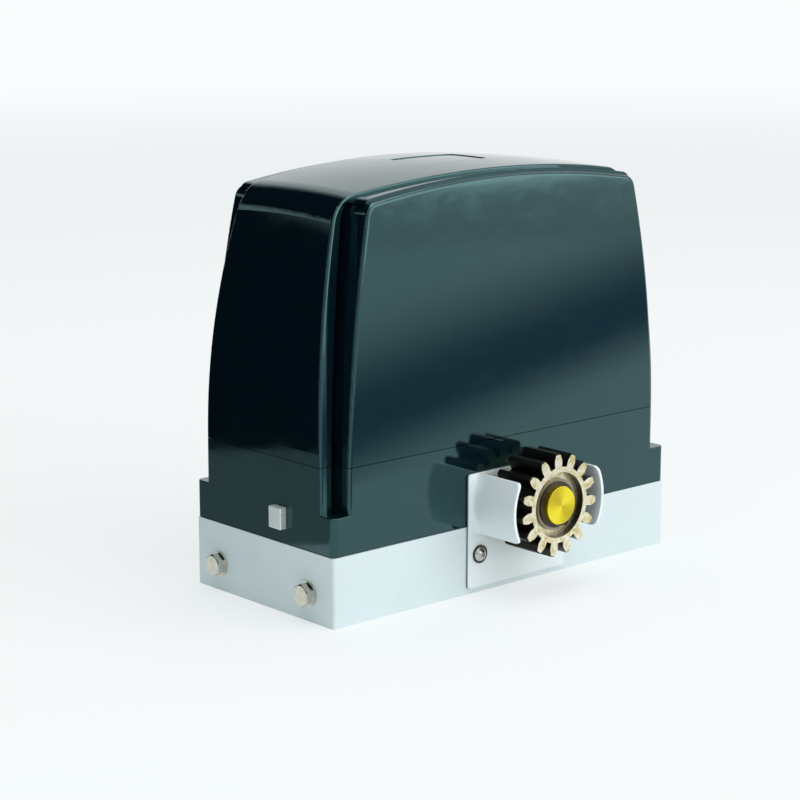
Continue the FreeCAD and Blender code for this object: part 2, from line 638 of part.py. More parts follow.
def guard_fasteners():
    screws, rings, nuts = [], [], []
    ring_thickness = 1.0
    for side in (-1, 1):
        x = AXIS_OFFSET + side * GUARD_SCREW_SPACING / 2
        seat = GUARD_FRONT - ring_thickness
        screw = socket_screw(M5_RADIUS, 14.0, 4.75, 2.75, 3.0)
        screws.append(placed(screw, (x, seat, GUARD_SCREW_HEIGHT), (0, -1, 0)))
        ring = washer(6.0, M5_HOLE, ring_thickness)
        rings.append(placed(ring, (x, GUARD_FRONT, GUARD_SCREW_HEIGHT), (0, -1, 0)))
        nut = hex_nut(M5_RADIUS, 8.0, 4.0)
        nuts.append(placed(nut, (x, FRONT + BASE_SHEET, GUARD_SCREW_HEIGHT), (0, 1, 0)))
    return screws, rings, nuts


# ---------------------------------------------------------------- output shaft
def involute_flank(base, outer, samples):
    """Polar points of an involute from its base circle to an outer radius."""
    points = []
    for i in range(samples + 1):
        radius = base + (outer - base) * i / samples
        turn = math.sqrt(max(radius ** 2 / base ** 2 - 1, 0))
        points.append((radius, turn - math.atan(turn)))
    return points


def spur_gear(module, teeth, root, width):
    """Gear blank with involute teeth, tooth centred on the X axis, along Z from 0."""
    pitch = module * teeth / 2
    base = pitch * math.cos(math.radians(PRESSURE_ANGLE))
    flank = involute_flank(base, pitch + module, 6)
    pitch_turn = math.tan(math.radians(PRESSURE_ANGLE)) - math.radians(PRESSURE_ANGLE)
    half_angle = math.pi / (2 * teeth) + pitch_turn

    def at(radius, angle):
        return V(radius * math.cos(angle), radius * math.sin(angle), 0)

    edges = []
    step = 2 * math.pi / teeth
    for i in range(teeth):
        middle = i * step
        rising = [at(r, middle - half_angle + a) for r, a in flank]
        falling = [at(r, middle + half_angle - a) for r, a in reversed(flank)]
        foot = at(root, middle - half_angle)
        heel = at(root, middle + half_angle)
        for points in (rising, falling):
            curve = Part.BSplineCurve()
            curve.interpolate(points)
            if points is rising:
                edges.append(Part.makeLine(foot, points[0]))
                edges.append(curve.toShape())
                edges.append(Part.Arc(points[-1], at(pitch + module, middle), falling[0]).toShape())
            else:
                edges.append(curve.toShape())
                edges.append(Part.makeLine(points[-1], heel))
        edges.append(Part.Arc(heel, at(root, middle + step / 2), at(root, middle + step - half_angle)).toShape())
    return Part.Face(Part.Wire(edges)).extrude(V(0, 0, width))


def facing_front(shape, y):
    """Stand a shape made along Z from 0 at the output axis, its Z pointing to -Y from y."""
    return placed(shape, (AXIS_OFFSET, y, AXIS_HEIGHT), (0, -1, 0))


def facing_rear(shape, y):
    return placed(shape, (AXIS_OFFSET, y, AXIS_HEIGHT), (0, 1, 0))


def indexed(shape):
    """Turn a shape on the output axis so that one tooth stands at the pinion's phase."""
    return shape.rotated(V(AXIS_OFFSET, 0, AXIS_HEIGHT), V(0, 1, 0), -90 - PINION_PHASE)


def pinion():
    gear = spur_gear(PINION_MODULE, PINION_TEETH, PINION_RADIUS - 1.25 * PINION_MODULE, PINION_WIDTH)
    chamfer = PINION_TIP - 0.8
    cone = Part.makeCone(chamfer + PINION_WIDTH, chamfer, PINION_WIDTH)
    gear = gear.common(cone).common(cone.mirror(V(0, 0, PINION_WIDTH / 2), V(0, 0, 1)))
    gear = gear.cut([Part.makeCylinder(SHAFT_END_RADIUS, PINION_WIDTH),
                     Part.makeCylinder(PINION_RECESS_RADIUS, PINION_RECESS_DEPTH,
                                       V(0, 0, PINION_WIDTH - PINION_RECESS_DEPTH)),
                     key_block(0.0, PINION_WIDTH)])
    return indexed(facing_front(gear, PINION_BACK))


def key_block(z0, z1):
    return box(-KEY_WIDTH / 2, KEY_WIDTH / 2, SHAFT_END_RADIUS - KEY_DEPTH, SHAFT_END_RADIUS + KEY_RISE, z0, z1)


def output_shaft():
    nose_length = PINION_WIDTH + SHAFT_PROUD
    nose = Part.makeCylinder(SHAFT_END_RADIUS, nose_length)
    nose = nose.makeChamfer(SHAFT_END_CHAMFER, [e for e in nose.Edges
                                                if abs(e.CenterOfMass.z - nose_length) < 0.01
                                                and e.Length > SHAFT_END_RADIUS * 3])
    groove_z = PINION_WIDTH - PINION_RECESS_DEPTH + 2.0
    nose = nose.cut(washer(SHAFT_END_RADIUS + 1, SHAFT_END_RADIUS - 0.7, RING_THICKNESS).translated(
        V(0, 0, groove_z)))
    nose = nose.cut(key_block(0.0, PINION_WIDTH - PINION_RECESS_DEPTH - 1))
    nose = indexed(facing_front(nose, PINION_BACK))
    body = cyl_y(AXIS_OFFSET, AXIS_HEIGHT, SHAFT_RADIUS, PINION_BACK, WHEEL_FRONT + WHEEL_WIDTH + 1.5)
    tail = cyl_y(AXIS_OFFSET, AXIS_HEIGHT, SHAFT_TAIL_RADIUS, 0, COVER_FRONT + REAR_BEARING[2] + 0.5)
    ribs = spline_ribs(SPLINE_RADIUS, 4.0, CASE_INSIDE + 2, WHEEL_FRONT - DOG_LENGTH - 0.5)
    return union([nose, body, tail] + ribs)


def spline_ribs(radius, width, y0, y1):
    ribs = []
    for i in range(SPLINE_COUNT):
        rib = box(AXIS_OFFSET, AXIS_OFFSET + radius, y0, y1, AXIS_HEIGHT - width / 2, AXIS_HEIGHT + width / 2)
        rib = rib.common(cyl_y(AXIS_OFFSET, AXIS_HEIGHT, radius, y0, y1))
        rib.rotate(V(AXIS_OFFSET, 0, AXIS_HEIGHT), V(0, 1, 0), i * 360 / SPLINE_COUNT)
        ribs.append(rib)
    return ribs


def pinion_key():
    return indexed(facing_front(key_block(0.0, PINION_WIDTH - PINION_RECESS_DEPTH - 1), PINION_BACK))


def pinion_washer():
    ring = washer(PINION_WASHER, SHAFT_END_RADIUS, 2.0)
    return facing_front(ring, PINION_FRONT + PINION_RECESS_DEPTH)


def retaining_ring():
    ring = washer(SHAFT_END_RADIUS + 2.6, SHAFT_END_RADIUS - 0.7, RING_THICKNESS)
    lugs = []
    for turn in (-32.0, -58.0):
        x = (SHAFT_END_RADIUS + 2.0) * math.cos(math.radians(turn))
        y = (SHAFT_END_RADIUS + 2.0) * math.sin(math.radians(turn))
        lug = Part.makeCylinder(2.9, RING_THICKNESS, V(x, y, 0))
        lugs.append(lug.cut(Part.makeCylinder(1.1, RING_THICKNESS, V(x, y, 0))))
        ring = ring.cut(Part.makeCylinder(1.1, RING_THICKNESS, V(x, y, 0)))
    gap = box(0, 30, -1.6, 1.6, 0, RING_THICKNESS)
    gap.rotate(V(0, 0, 0), V(0, 0, 1), -45)
    ring = union([ring] + lugs).cut([gap, Part.makeCylinder(SHAFT_END_RADIUS - 0.7, RING_THICKNESS)])
    return facing_front(ring, PINION_FRONT + PINION_RECESS_DEPTH - 2.0)


# ---------------------------------------------------------------- worm drive
def worm_wheel():
    """Helical-toothed wheel whose gap faces the worm at mid width."""
    pitch = math.pi * WORM_MODULE
    slope = math.tan(math.radians(PRESSURE_ANGLE))
    half_pitch = (pitch / 2 - MESH_BACKLASH) / 2
    half_tip = half_pitch - slope * WORM_MODULE
    half_root = half_pitch + slope * (WHEEL_RADIUS - WHEEL_ROOT)
    twist = WORM_MODULE / (2 * WORM_PITCH_RADIUS) / WHEEL_RADIUS
    step = 2 * math.pi / WHEEL_TEETH

    def outline(y):
        turn = math.pi + step / 2 - twist * (y - WORM_Y)
        corners = []
        for i in range(WHEEL_TEETH):
            for radius, half in ((WHEEL_ROOT, -half_root), (WHEEL_TIP, -half_tip),
                                 (WHEEL_TIP, half_tip), (WHEEL_ROOT, half_root)):
                angle = turn + i * step + half / radius
                corners.append(V(AXIS_OFFSET + radius * math.cos(angle), y,
                                 AXIS_HEIGHT + radius * math.sin(angle)))
        corners.append(corners[0])
        return Part.makePolygon(corners)

    back = WHEEL_FRONT + WHEEL_WIDTH
    wheel = Part.makeLoft([outline(WHEEL_FRONT), outline(back)], True, True)
    web = washer(WHEEL_ROOT - 5, DOG_INNER + 12, 3.5)
    wheel = wheel.cut([cyl_y(AXIS_OFFSET, AXIS_HEIGHT, SHAFT_RADIUS + RUNNING_GAP, WHEEL_FRONT - 1, back + 1),
                       facing_rear(web, WHEEL_FRONT), facing_front(web, back)])
    dogs = dog_ring(WHEEL_FRONT - DOG_LENGTH, WHEEL_FRONT + 1, 0.0)
    return union([wheel] + dogs)


def dog_ring(y0, y1, turn):
    sector = 360.0 / DOG_COUNT / 2 - DOG_PLAY
    dogs = []
    for i in range(DOG_COUNT):
        dog = Part.makeCylinder(CLUTCH_RADIUS, y1 - y0, V(0, 0, 0), V(0, 0, 1), sector)
        dog = dog.cut(Part.makeCylinder(DOG_INNER, y1 - y0))
        dog.rotate(V(0, 0, 0), V(0, 0, 1), turn + i * 360.0 / DOG_COUNT)
        dogs.append(facing_rear(dog, y0))
    return dogs


def clutch_sleeve():
    groove = RELEASE_Y + CLUTCH_TRAVEL / 2
    half = CLUTCH_PIN_RADIUS + CLUTCH_GROOVE_PLAY
    front = groove - half - CLUTCH_FLANGE
    back = WHEEL_FRONT - DOG_LENGTH - 0.4
    body = cyl_y(AXIS_OFFSET, AXIS_HEIGHT, CLUTCH_RADIUS, front, back)
    ring = washer(CLUTCH_RADIUS + 1, CLUTCH_GROOVE_RADIUS, 2 * half)
    body = body.cut(facing_rear(ring, groove - half))
    dogs = dog_ring(back - 1, WHEEL_FRONT - 0.4, 360.0 / DOG_COUNT / 2)
    sleeve = union([body] + dogs)
    bore = cyl_y(AXIS_OFFSET, AXIS_HEIGHT, SHAFT_RADIUS + RUNNING_GAP, front - 1, WHEEL_FRONT)
    return sleeve.cut([bore] + spline_ribs(SPLINE_RADIUS + 0.3, 4.6, front - 1, WHEEL_FRONT))


def release_spindle():
    """Square head outside, journal in the gear case, disc with an off-centre pin in the clutch groove."""
    def rod(radius, x0, x1):
        return cyl_x(RELEASE_Y, RELEASE_HEIGHT, radius, x0, x1)

    half_y = RELEASE_HEAD_WIDTH / 2
    half_z = RELEASE_HEAD_HEIGHT / 2
    head = box(-HALF_L - RELEASE_HEAD_DEPTH, -HALF_L - 0.3, RELEASE_Y - half_y, RELEASE_Y + half_y,
               RELEASE_HEIGHT - half_z, RELEASE_HEIGHT + half_z)
    head = fillet(head, 0.8, lambda c, e: c.x < -HALF_L - 0.5)
    disc_end = AXIS_OFFSET - CLUTCH_RADIUS - 1.0
    pin_y = RELEASE_Y + CLUTCH_TRAVEL / 2
    pin_z = RELEASE_HEIGHT + CLUTCH_TRAVEL / 2
    pin = cyl_x(pin_y, pin_z, CLUTCH_PIN_RADIUS, disc_end - 1, AXIS_OFFSET - CLUTCH_GROOVE_RADIUS - 0.8)
    return union([head, rod(RELEASE_SHAFT_RADIUS, -HALF_L - 1, disc_end),
                  rod(RELEASE_JOURNAL_RADIUS, WORM_X - TOWER_RADIUS - 2, AXIS_OFFSET - CASE_BORE + 3),
                  rod(CLUTCH_PIN_RADIUS + PIN_ARM + 1.5, disc_end - RELEASE_DISC, disc_end), pin])


def worm_shaft():
    z = AXIS_HEIGHT
    lead = math.pi * WORM_MODULE
    slope = math.tan(math.radians(PRESSURE_ANGLE))
    half_pitch = lead / 4
    inner = WORM_ROOT - 0.3
    half_in = half_pitch + slope * (WORM_PITCH_RADIUS - inner)
    outer = WORM_TIP + 0.5
    half_out = half_pitch + slope * (WORM_PITCH_RADIUS - outer)
    turns = math.ceil(WORM_LENGTH / 2 / lead) + 1
    start = z - turns * lead
    helix = Part.makeHelix(lead, 2 * turns * lead, WORM_PITCH_RADIUS)
    profile = Part.makePolygon([V(inner, 0, -half_in), V(outer, 0, -half_out), V(outer, 0, half_out),
                                V(inner, 0, half_in), V(inner, 0, -half_in)])
    thread = Part.Wire(helix.Edges).makePipeShell([profile], True, True)
    thread.translate(V(WORM_X, WORM_Y, start))
    blank = cyl_z(WORM_X, WORM_Y, WORM_TIP, z - WORM_LENGTH / 2, z + WORM_LENGTH / 2)
    thread = thread.common(blank)

    def rod(radius, z0, z1):
        return cyl_z(WORM_X, WORM_Y, radius, z0, z1)

    bearing_z = MOTOR_SEAT + 2
    upper = MOTOR_TOP - 1 - MOTOR_BEARING[2]
    rods = [rod(WORM_BEARING[0], TOWER_FOOT + 6.5, z - WORM_LENGTH / 2 - 2),
            rod(WORM_ROOT, z - WORM_LENGTH / 2 - 2, z + WORM_LENGTH / 2 + 4),
            rod(MOTOR_BEARING[0], z, MOTOR_TOP + 3),
            rod(ROTOR_SHAFT_RADIUS, bearing_z + MOTOR_BEARING[2], upper)]
    return union(rods + [thread])


# ---------------------------------------------------------------- gear case
def case_cover_places():
    radius = CASE_BORE + CASE_WALL / 2 + 2.5
    return [(AXIS_OFFSET + radius * math.cos(math.radians(a)), AXIS_HEIGHT + radius * math.sin(math.radians(a)))
            for a in (22, 62, 118, 242, 294, 330)]


def case_lugs(y0, y1):
    return [cyl_y(x, z, 5.5, y0, y1) for x, z in case_cover_places()]


def gear_case():
    shell = cyl_y(AXIS_OFFSET, AXIS_HEIGHT, CASE_RADIUS, CASE_FRONT, CASE_REAR)
    boss = cyl_y(AXIS_OFFSET, AXIS_HEIGHT, CASE_BOSS_RADIUS, CASE_BOSS_FRONT, CASE_FRONT + 1)
    tower = cyl_z(WORM_X, WORM_Y, TOWER_RADIUS, TOWER_FOOT, MOTOR_SEAT - 2)
    seat = cyl_z(WORM_X, WORM_Y, MOTOR_RADIUS, MOTOR_SEAT - 6, MOTOR_SEAT)
    flange = box(CASE_FLANGE_X[0], CASE_FLANGE_X[1], CASE_FLANGE_Y[0], CASE_FLANGE_Y[1],
                 BASE_HEIGHT, BASE_HEIGHT + CASE_FLANGE)
    arm = cyl_x(RELEASE_Y, RELEASE_HEIGHT, 9.5, WORM_X - TOWER_RADIUS, AXIS_OFFSET - CASE_BORE)
    rib_reach = MOTOR_RADIUS - 5
    ribs = [box(WORM_X - 2.5, WORM_X + 2.5, WORM_Y - rib_reach, WORM_Y + rib_reach,
                MOTOR_SEAT - 30, MOTOR_SEAT - 5)]
    lugs = [lug for lug in case_lugs(CASE_REAR - 20, CASE_REAR)]
    case = union([shell, boss, tower, seat, flange, arm] + lugs + ribs)
    bore, outer, width = FRONT_BEARING
    seat_front = CASE_BOSS_FRONT + SEAL_WIDTH + 1.5
    worm_seat = TOWER_FOOT + 6
    cuts = [
        cyl_y(AXIS_OFFSET, AXIS_HEIGHT, CASE_BORE, CASE_INSIDE, CASE_REAR + 30),
        cyl_y(AXIS_OFFSET, AXIS_HEIGHT, CASE_RADIUS + 1, CASE_REAR, CASE_FLANGE_Y[1] + 1),
        cyl_y(AXIS_OFFSET, AXIS_HEIGHT, outer, CASE_BOSS_FRONT - 1, seat_front + width),
        cyl_y(AXIS_OFFSET, AXIS_HEIGHT, SHAFT_RADIUS + 3, CASE_BOSS_FRONT, CASE_INSIDE + 1),
        cyl_z(WORM_X, WORM_Y, WORM_TIP + 1.5, worm_seat + WORM_BEARING[2], MOTOR_SEAT + 1),
        cyl_z(WORM_X, WORM_Y, WORM_BEARING[1], worm_seat, MOTOR_SEAT),
        cyl_x(RELEASE_Y, RELEASE_HEIGHT, RELEASE_JOURNAL_RADIUS + RUNNING_GAP,
              WORM_X - TOWER_RADIUS - 30, AXIS_OFFSET - CASE_BORE + 10),
    ]
    for x, y in case_bolt_places():
        cuts.append(cyl_z(x, y, M5_HOLE, BASE_HEIGHT - 1, BASE_HEIGHT + CASE_FLANGE + 1))
    for x, z in case_cover_places():
        cuts.append(cyl_y(x, z, M5_RADIUS, CASE_REAR - 12, CASE_REAR + 1))
    for x, y in tie_bolt_places():
        cuts.append(cyl_z(x, y, TIE_BOLT_RADIUS, MOTOR_SEAT - 7, MOTOR_SEAT + 1))
    return case.cut(cuts)


def case_gasket():
    ring = union([cyl_y(AXIS_OFFSET, AXIS_HEIGHT, CASE_RADIUS, CASE_REAR, COVER_FRONT)]
                 + case_lugs(CASE_REAR, COVER_FRONT))
    ring = ring.cut(cyl_y(AXIS_OFFSET, AXIS_HEIGHT, CASE_BORE, CASE_REAR - 1, COVER_FRONT + 1))
    return ring.cut([cyl_y(x, z, M5_HOLE, CASE_REAR - 1, COVER_FRONT + 1) for x, z in case_cover_places()])


def case_cover():
    bore, outer, width = REAR_BEARING
    back = COVER_FRONT + width + 5
    plate = union([cyl_y(AXIS_OFFSET, AXIS_HEIGHT, CASE_RADIUS, COVER_FRONT, COVER_BACK),
                   cyl_y(AXIS_OFFSET, AXIS_HEIGHT, outer + 5, COVER_FRONT, back)]
                  + case_lugs(COVER_FRONT, COVER_BACK))
    cuts = [cyl_y(AXIS_OFFSET, AXIS_HEIGHT, outer, COVER_FRONT - 1, COVER_FRONT + width + 1)]
    cuts += [cyl_y(x, z, M5_HOLE, COVER_FRONT - 1, COVER_BACK + 1) for x, z in case_cover_places()]
    return plate.cut(cuts)


def case_cover_screws():
    screw = socket_screw(M5_RADIUS, 16.0, 4.2, 4.0, 4.0)
    return [placed(screw, (x, COVER_BACK, z), (0, 1, 0)) for x, z in case_cover_places()]


def case_bolts():
    bolts, nuts = [], []
    for x, y in case_bolt_places():
        bolts.append(placed(hex_bolt(M5_RADIUS, 14.0, 8.0, 3.5), (x, y, BASE_HEIGHT + CASE_FLANGE)))
        nuts.append(placed(hex_nut(M5_RADIUS, 8.0, 4.0), (x, y, BASE_HEIGHT - BASE_SHEET), (0, 0, -1)))
    return bolts, nuts


def output_bearings():
    front_outer, front_inner = bearing(*FRONT_BEARING)
    rear_outer, rear_inner = bearing(*REAR_BEARING)
    front_y = CASE_BOSS_FRONT + SEAL_WIDTH + 1.5
    rear_y = COVER_FRONT + 1
    return (group([facing_rear(front_outer, front_y), facing_rear(rear_outer, rear_y)]),
            group([facing_rear(front_inner, front_y), facing_rear(rear_inner, rear_y)]))


def oil_seal():
    ring = washer(FRONT_BEARING[1], SHAFT_RADIUS + RUNNING_GAP, SEAL_WIDTH)
    dish = washer(FRONT_BEARING[1] - 2.5, SHAFT_RADIUS + 1.5, 2.0)
    return facing_rear(ring.cut(dish), CASE_BOSS_FRONT)


def shaft_spacer():
    """Flanged sleeve on the shaft tail: it holds the worm wheel in place and bears on the rear bearing."""
    step = WHEEL_FRONT + WHEEL_WIDTH + 1.5
    flange = facing_rear(washer(SHAFT_RADIUS + 4, SHAFT_RADIUS, 2.2), step - 1.2)
    sleeve = facing_rear(washer(SHAFT_RADIUS + 1, SHAFT_TAIL_RADIUS, 1.0), step)
    tube = facing_rear(washer(SHAFT_TAIL_RADIUS + 2, SHAFT_TAIL_RADIUS, COVER_FRONT + 1 - step), step)
    return union([flange, sleeve, tube])


# ---------------------------------------------------------------- motor
def at_motor(shape, z):
    return placed(shape, (WORM_X, WORM_Y, z))


def tie_bolt_places():
    return [(WORM_X + TIE_BOLT_CIRCLE * math.cos(math.radians(a)),
             WORM_Y + TIE_BOLT_CIRCLE * math.sin(math.radians(a))) for a in (45, 135, 225, 315)]


def motor_housing():
    tube = washer(MOTOR_RADIUS, MOTOR_RADIUS - MOTOR_WALL, TUBE_LENGTH)
    fins = []
    for i in range(FIN_COUNT):
        fin = box(MOTOR_RADIUS - 1, MOTOR_RADIUS + FIN_HEIGHT, -FIN_WIDTH / 2, FIN_WIDTH / 2,
                  4, TUBE_LENGTH - 4)
        fin.rotate(V(0, 0, 0), V(0, 0, 1), i * 360 / FIN_COUNT)
        fins.append(fin)
    return at_motor(union([tube] + fins), TUBE_BOTTOM)


def stator_bars(z0, z1):
    bars = []
    for i in range(STATOR_SLOTS):
        bar = box(STATOR_BORE + 2.0, SLOT_OUTER, -SLOT_WIDTH / 2, SLOT_WIDTH / 2, z0, z1)
        bar.rotate(V(0, 0, 0), V(0, 0, 1), (i + 0.5) * 360 / STATOR_SLOTS)
        bars.append(bar)
    return bars


def stator():
    core = washer(MOTOR_RADIUS - MOTOR_WALL, STATOR_BORE, STATOR_LENGTH)
    core = core.cut(stator_bars(0, STATOR_LENGTH))
    core = at_motor(core, STATOR_BOTTOM)
    core = core.cut([cyl_z(x, y, TIE_BOLT_RADIUS, STATOR_BOTTOM, STATOR_BOTTOM + STATOR_LENGTH)
                     for x, y in tie_bolt_places()])
    ring = washer(SLOT_OUTER, STATOR_BORE + 2.0, END_TURN_HEIGHT)
    top = ring.translated(V(0, 0, STATOR_LENGTH))
    bottom = ring.mirror(V(0, 0, 0), V(0, 0, 1))
    windings = union([top, bottom] + stator_bars(0, STATOR_LENGTH))
    return core, at_motor(windings, STATOR_BOTTOM)


def end_shields():
    bore, outer, width = MOTOR_BEARING
    lower = union([Part.makeCylinder(MOTOR_RADIUS, SHIELD_THICKNESS), Part.makeCylinder(outer + 4, width + 3)])
    lower = lower.cut([Part.makeCylinder(outer, width + 2, V(0, 0, 2)), Part.makeCylinder(outer - 3, width + 3)])
    lower = at_motor(lower, MOTOR_SEAT)
    upper = union([Part.makeCylinder(MOTOR_RADIUS, SHIELD_THICKNESS),
                   Part.makeCylinder(outer + 4, width + 2, V(0, 0, SHIELD_THICKNESS - width - 2))])
    upper = upper.cut([Part.makeCylinder(outer, width, V(0, 0, SHIELD_THICKNESS - 1 - width)),
                       Part.makeCylinder(outer - 3, 2 * width, V(0, 0, -width))])
    upper = at_motor(upper, TUBE_TOP)
    holes = [cyl_z(x, y, TIE_BOLT_RADIUS, MOTOR_SEAT - 1, MOTOR_TOP + 1) for x, y in tie_bolt_places()]
    return lower.cut(holes), upper.cut(holes)


def tie_bolts():
    length = MOTOR_TOP - MOTOR_SEAT + 6
    bolt = hex_bolt(TIE_BOLT_RADIUS, length, 7.0, 2.8)
    return group([placed(bolt, (x, y, MOTOR_TOP)) for x, y in tie_bolt_places()])


def motor_bearings():
    outer_ring, inner_ring = bearing(*MOTOR_BEARING)
    low_outer, low_inner = bearing(*WORM_BEARING)
    low = MOTOR_SEAT + 2
    high = MOTOR_TOP - 1 - MOTOR_BEARING[2]
    foot = TOWER_FOOT + 6
    return (group([at_motor(outer_ring, low), at_motor(outer_ring, high), at_motor(low_outer, foot)]),
            group([at_motor(inner_ring, low), at_motor(inner_ring, high), at_motor(low_inner, foot)]))


def rotor():
    low = STATOR_BOTTOM - 1
    core = washer(ROTOR_RADIUS, ROTOR_SHAFT_RADIUS, STATOR_LENGTH + 2)
    ring = washer(ROTOR_RADIUS - 2, ROTOR_RADIUS - 9, 4)
    rings = [ring.translated(V(0, 0, STATOR_LENGTH + 2)), ring.translated(V(0, 0, -4))]
    return at_motor(union([core] + rings), low)


def worm_seal():
    ring = washer(WORM_TIP + 1.5, MOTOR_BEARING[0] + RUNNING_GAP, SEAL_WIDTH)
    return at_motor(ring, MOTOR_SEAT - SEAL_WIDTH - 1)


def speed_sensor():
    magnet = at_motor(washer(12.0, MOTOR_BEARING[0], 3.0), MOTOR_TOP)
    cap = Part.makeCylinder(27.0, 16.0)
    cap = fillet(cap, 2.0, lambda c, e: c.z > 15 and e.Length > 50)
    cap = cap.cut(Part.makeCylinder(25.0, 14.0))
    board = Part.makeCylinder(24.6, 1.6).cut(Part.makeCylinder(4.0, 1.6))
    chip = box(8.0, 12.0, -2.5, 2.5, -1.5, 0)
    return magnet, at_motor(cap, MOTOR_TOP), at_motor(group([board, chip]), MOTOR_TOP + 8)


# ---------------------------------------------------------------- electronics
def board_bracket():
    half = BOARD_WIDTH / 2 - 2
    x = BRACKET_X
    plate = box(x, x + BRACKET_SHEET, -half, half, BASE_HEIGHT, BRACKET_TOP)
    plate = fillet(plate, 6.0, lambda c, e: c.z > BRACKET_TOP - 1 and e.Length < BRACKET_SHEET * 1.1)
    foot = box(x, x + 20, -half, half, BASE_HEIGHT, BASE_HEIGHT + BRACKET_SHEET)
    posts = [placed(Part.makeCylinder(3.0, STANDOFF), (x + BRACKET_SHEET, y, z), (1, 0, 0))
             for y, z in board_places()]
    holes = [cyl_x(y, z, 1.5, x + BRACKET_SHEET, BOARD_X) for y, z in board_places()]
    return union([plate, foot] + posts).cut(holes)


def board_places():
    inset = 6.0
    half = BOARD_WIDTH / 2 - inset
    return [(y, z) for y in (-half, half) for z in (BOARD_BOTTOM + inset, BOARD_BOTTOM + BOARD_HEIGHT - inset)]


def control_board():
    half = BOARD_WIDTH / 2
    board = box(BOARD_X, BOARD_X + BOARD_THICKNESS, -half, half, BOARD_BOTTOM, BOARD_BOTTOM + BOARD_HEIGHT)
    return board.cut([cyl_x(y, z, 1.5, BOARD_X - 1, BOARD_X + 3) for y, z in board_places()])


def board_screws():
    screw = pan_screw(1.5, STANDOFF, 2.8, 2.0)
    return group([placed(screw, (BOARD_X + BOARD_THICKNESS, y, z), (1, 0, 0)) for y, z in board_places()])


def on_board(width_y, height_z, depth_x, y, z):
    """Block standing on the board's face, its middle at y and z."""
    x = BOARD_X + BOARD_THICKNESS
    return box(x, x + depth_x, y - width_y / 2, y + width_y / 2, z - height_z / 2, z + height_z / 2)


def board_parts():
    z0 = BOARD_BOTTOM
    relays = [on_board(15, 19, 15, y, z0 + 82) for y in (-26, -6, 14)]
    relays = [fillet(relay, 1.0, lambda c, e: c.x > BOARD_X + BOARD_THICKNESS + 0.1) for relay in relays]
    strip = on_board(72, 11, 12, 0, z0 + 10)
    face = BOARD_X + BOARD_THICKNESS + 12
    cuts = []
    for i in range(12):
        y = -33 + 6 * i
        cuts.append(cyl_x(y, z0 + 11, 1.8, face - 4, face + 1))
        cuts.append(box(face - 9, face - 2, y - 1.6, y + 1.6, z0 + 3, z0 + 7))
    strip = strip.cut(cuts)
    microchip = on_board(12, 12, 2.2, 6, z0 + 42)
    filters = [placed(Part.makeCylinder(6.5, 16), (BOARD_X + BOARD_THICKNESS, y, z0 + 56), (1, 0, 0))
               for y in (-34, -18)]
    filters = [fillet(can, 1.0, lambda c, e: c.x > BOARD_X + 15 and e.Length > 30) for can in filters]
    receiver = on_board(22, 14, 4, 30, z0 + 58)
    holder = union([on_board(6, 10, 10, y, z0 + 30) for y in (-38, -16)] + [on_board(22, 8, 2, -27, z0 + 30)])
    fuse_x = BOARD_X + BOARD_THICKNESS + 7
    fuse = Part.makeCylinder(2.6, 20, V(fuse_x, -37, z0 + 30), V(0, 1, 0))
    holder = holder.cut(fuse)
    frame = on_board(9, 9, 5, 34, z0 + 34)
    frame = frame.cut(cyl_x(34, z0 + 34, 2.4, BOARD_X + BOARD_THICKNESS + 1.5, BOARD_X + 12))
    button = cyl_x(34, z0 + 34, 2.1, BOARD_X + BOARD_THICKNESS + 1.5 + BUTTON_TRAVEL + 0.3,
                   BOARD_X + BOARD_THICKNESS + 8)
    return (group(relays), strip, group([microchip, receiver]), group(filters), holder, fuse, frame, button)


def capacitor():
    can = Part.makeCylinder(CAPACITOR_RADIUS, CAPACITOR_LENGTH)
    can = fillet(can, 2.0, lambda c, e: e.Length > 2 * CAPACITOR_RADIUS and abs(c.x) < 1
                 and (c.z < 0.1 or c.z > CAPACITOR_LENGTH - 0.1))
    tabs = [box(-8 + 12 * i, -4 + 12 * i, -0.5, 0.5, CAPACITOR_LENGTH - 1, CAPACITOR_LENGTH + 9) for i in (0, 1)]
    can = placed(union([can] + tabs), (CAPACITOR_X, 0, CAPACITOR_BOTTOM))
    height = 14.0
    low = CAPACITOR_BOTTOM + 30
    ring = washer(CAPACITOR_RADIUS + 1.5, CAPACITOR_RADIUS, height)
    ring = placed(ring, (CAPACITOR_X, 0, low))
    pad = box(CAPACITOR_X + CAPACITOR_RADIUS, BRACKET_X, -12, 12, low, low + height)
    pad = pad.cut(cyl_z(CAPACITOR_X, 0, CAPACITOR_RADIUS, low - 1, low + height + 1))
    return can, union([ring, pad])


def transformer():
    x0, x1 = -130.0, -100.0
    y0, y1 = -4.0, 52.0
    z0, z1 = BASE_HEIGHT, BASE_HEIGHT + 48.0
    leg = 14.0
    middle = (y0 + y1) / 2
    core = box(x0, x1, y0, y1, z0, z1)
    windows = [box(x0 - 1, x1 + 1, a, a + 12, z0 + 11, z1 - 11) for a in (middle - leg / 2 - 12, middle + leg / 2)]
    core = core.cut(windows)
    coil = box(x0 - 6, x1 + 6, middle - leg / 2 - 12, middle + leg / 2 + 12, z0 + 11, z1 - 11)
    coil = fillet(coil, 3.0, lambda c, e: abs(c.z - (z0 + z1) / 2) < 0.1)
    return core, coil.cut(core)


def cable_grommet():
    low = BASE_HEIGHT - BASE_SHEET
    parts = [cyl_z(CABLE_X, CABLE_Y, CABLE_HOLE, low, BASE_HEIGHT),
             cyl_z(CABLE_X, CABLE_Y, CABLE_HOLE + 2.5, BASE_HEIGHT, BASE_HEIGHT + 2.5),
             cyl_z(CABLE_X, CABLE_Y, CABLE_HOLE + 2.5, low - 2.5, low)]
    return union(parts).cut(cyl_z(CABLE_X, CABLE_Y, CABLE_HOLE - 2.5, low - 5, BASE_HEIGHT + 5))


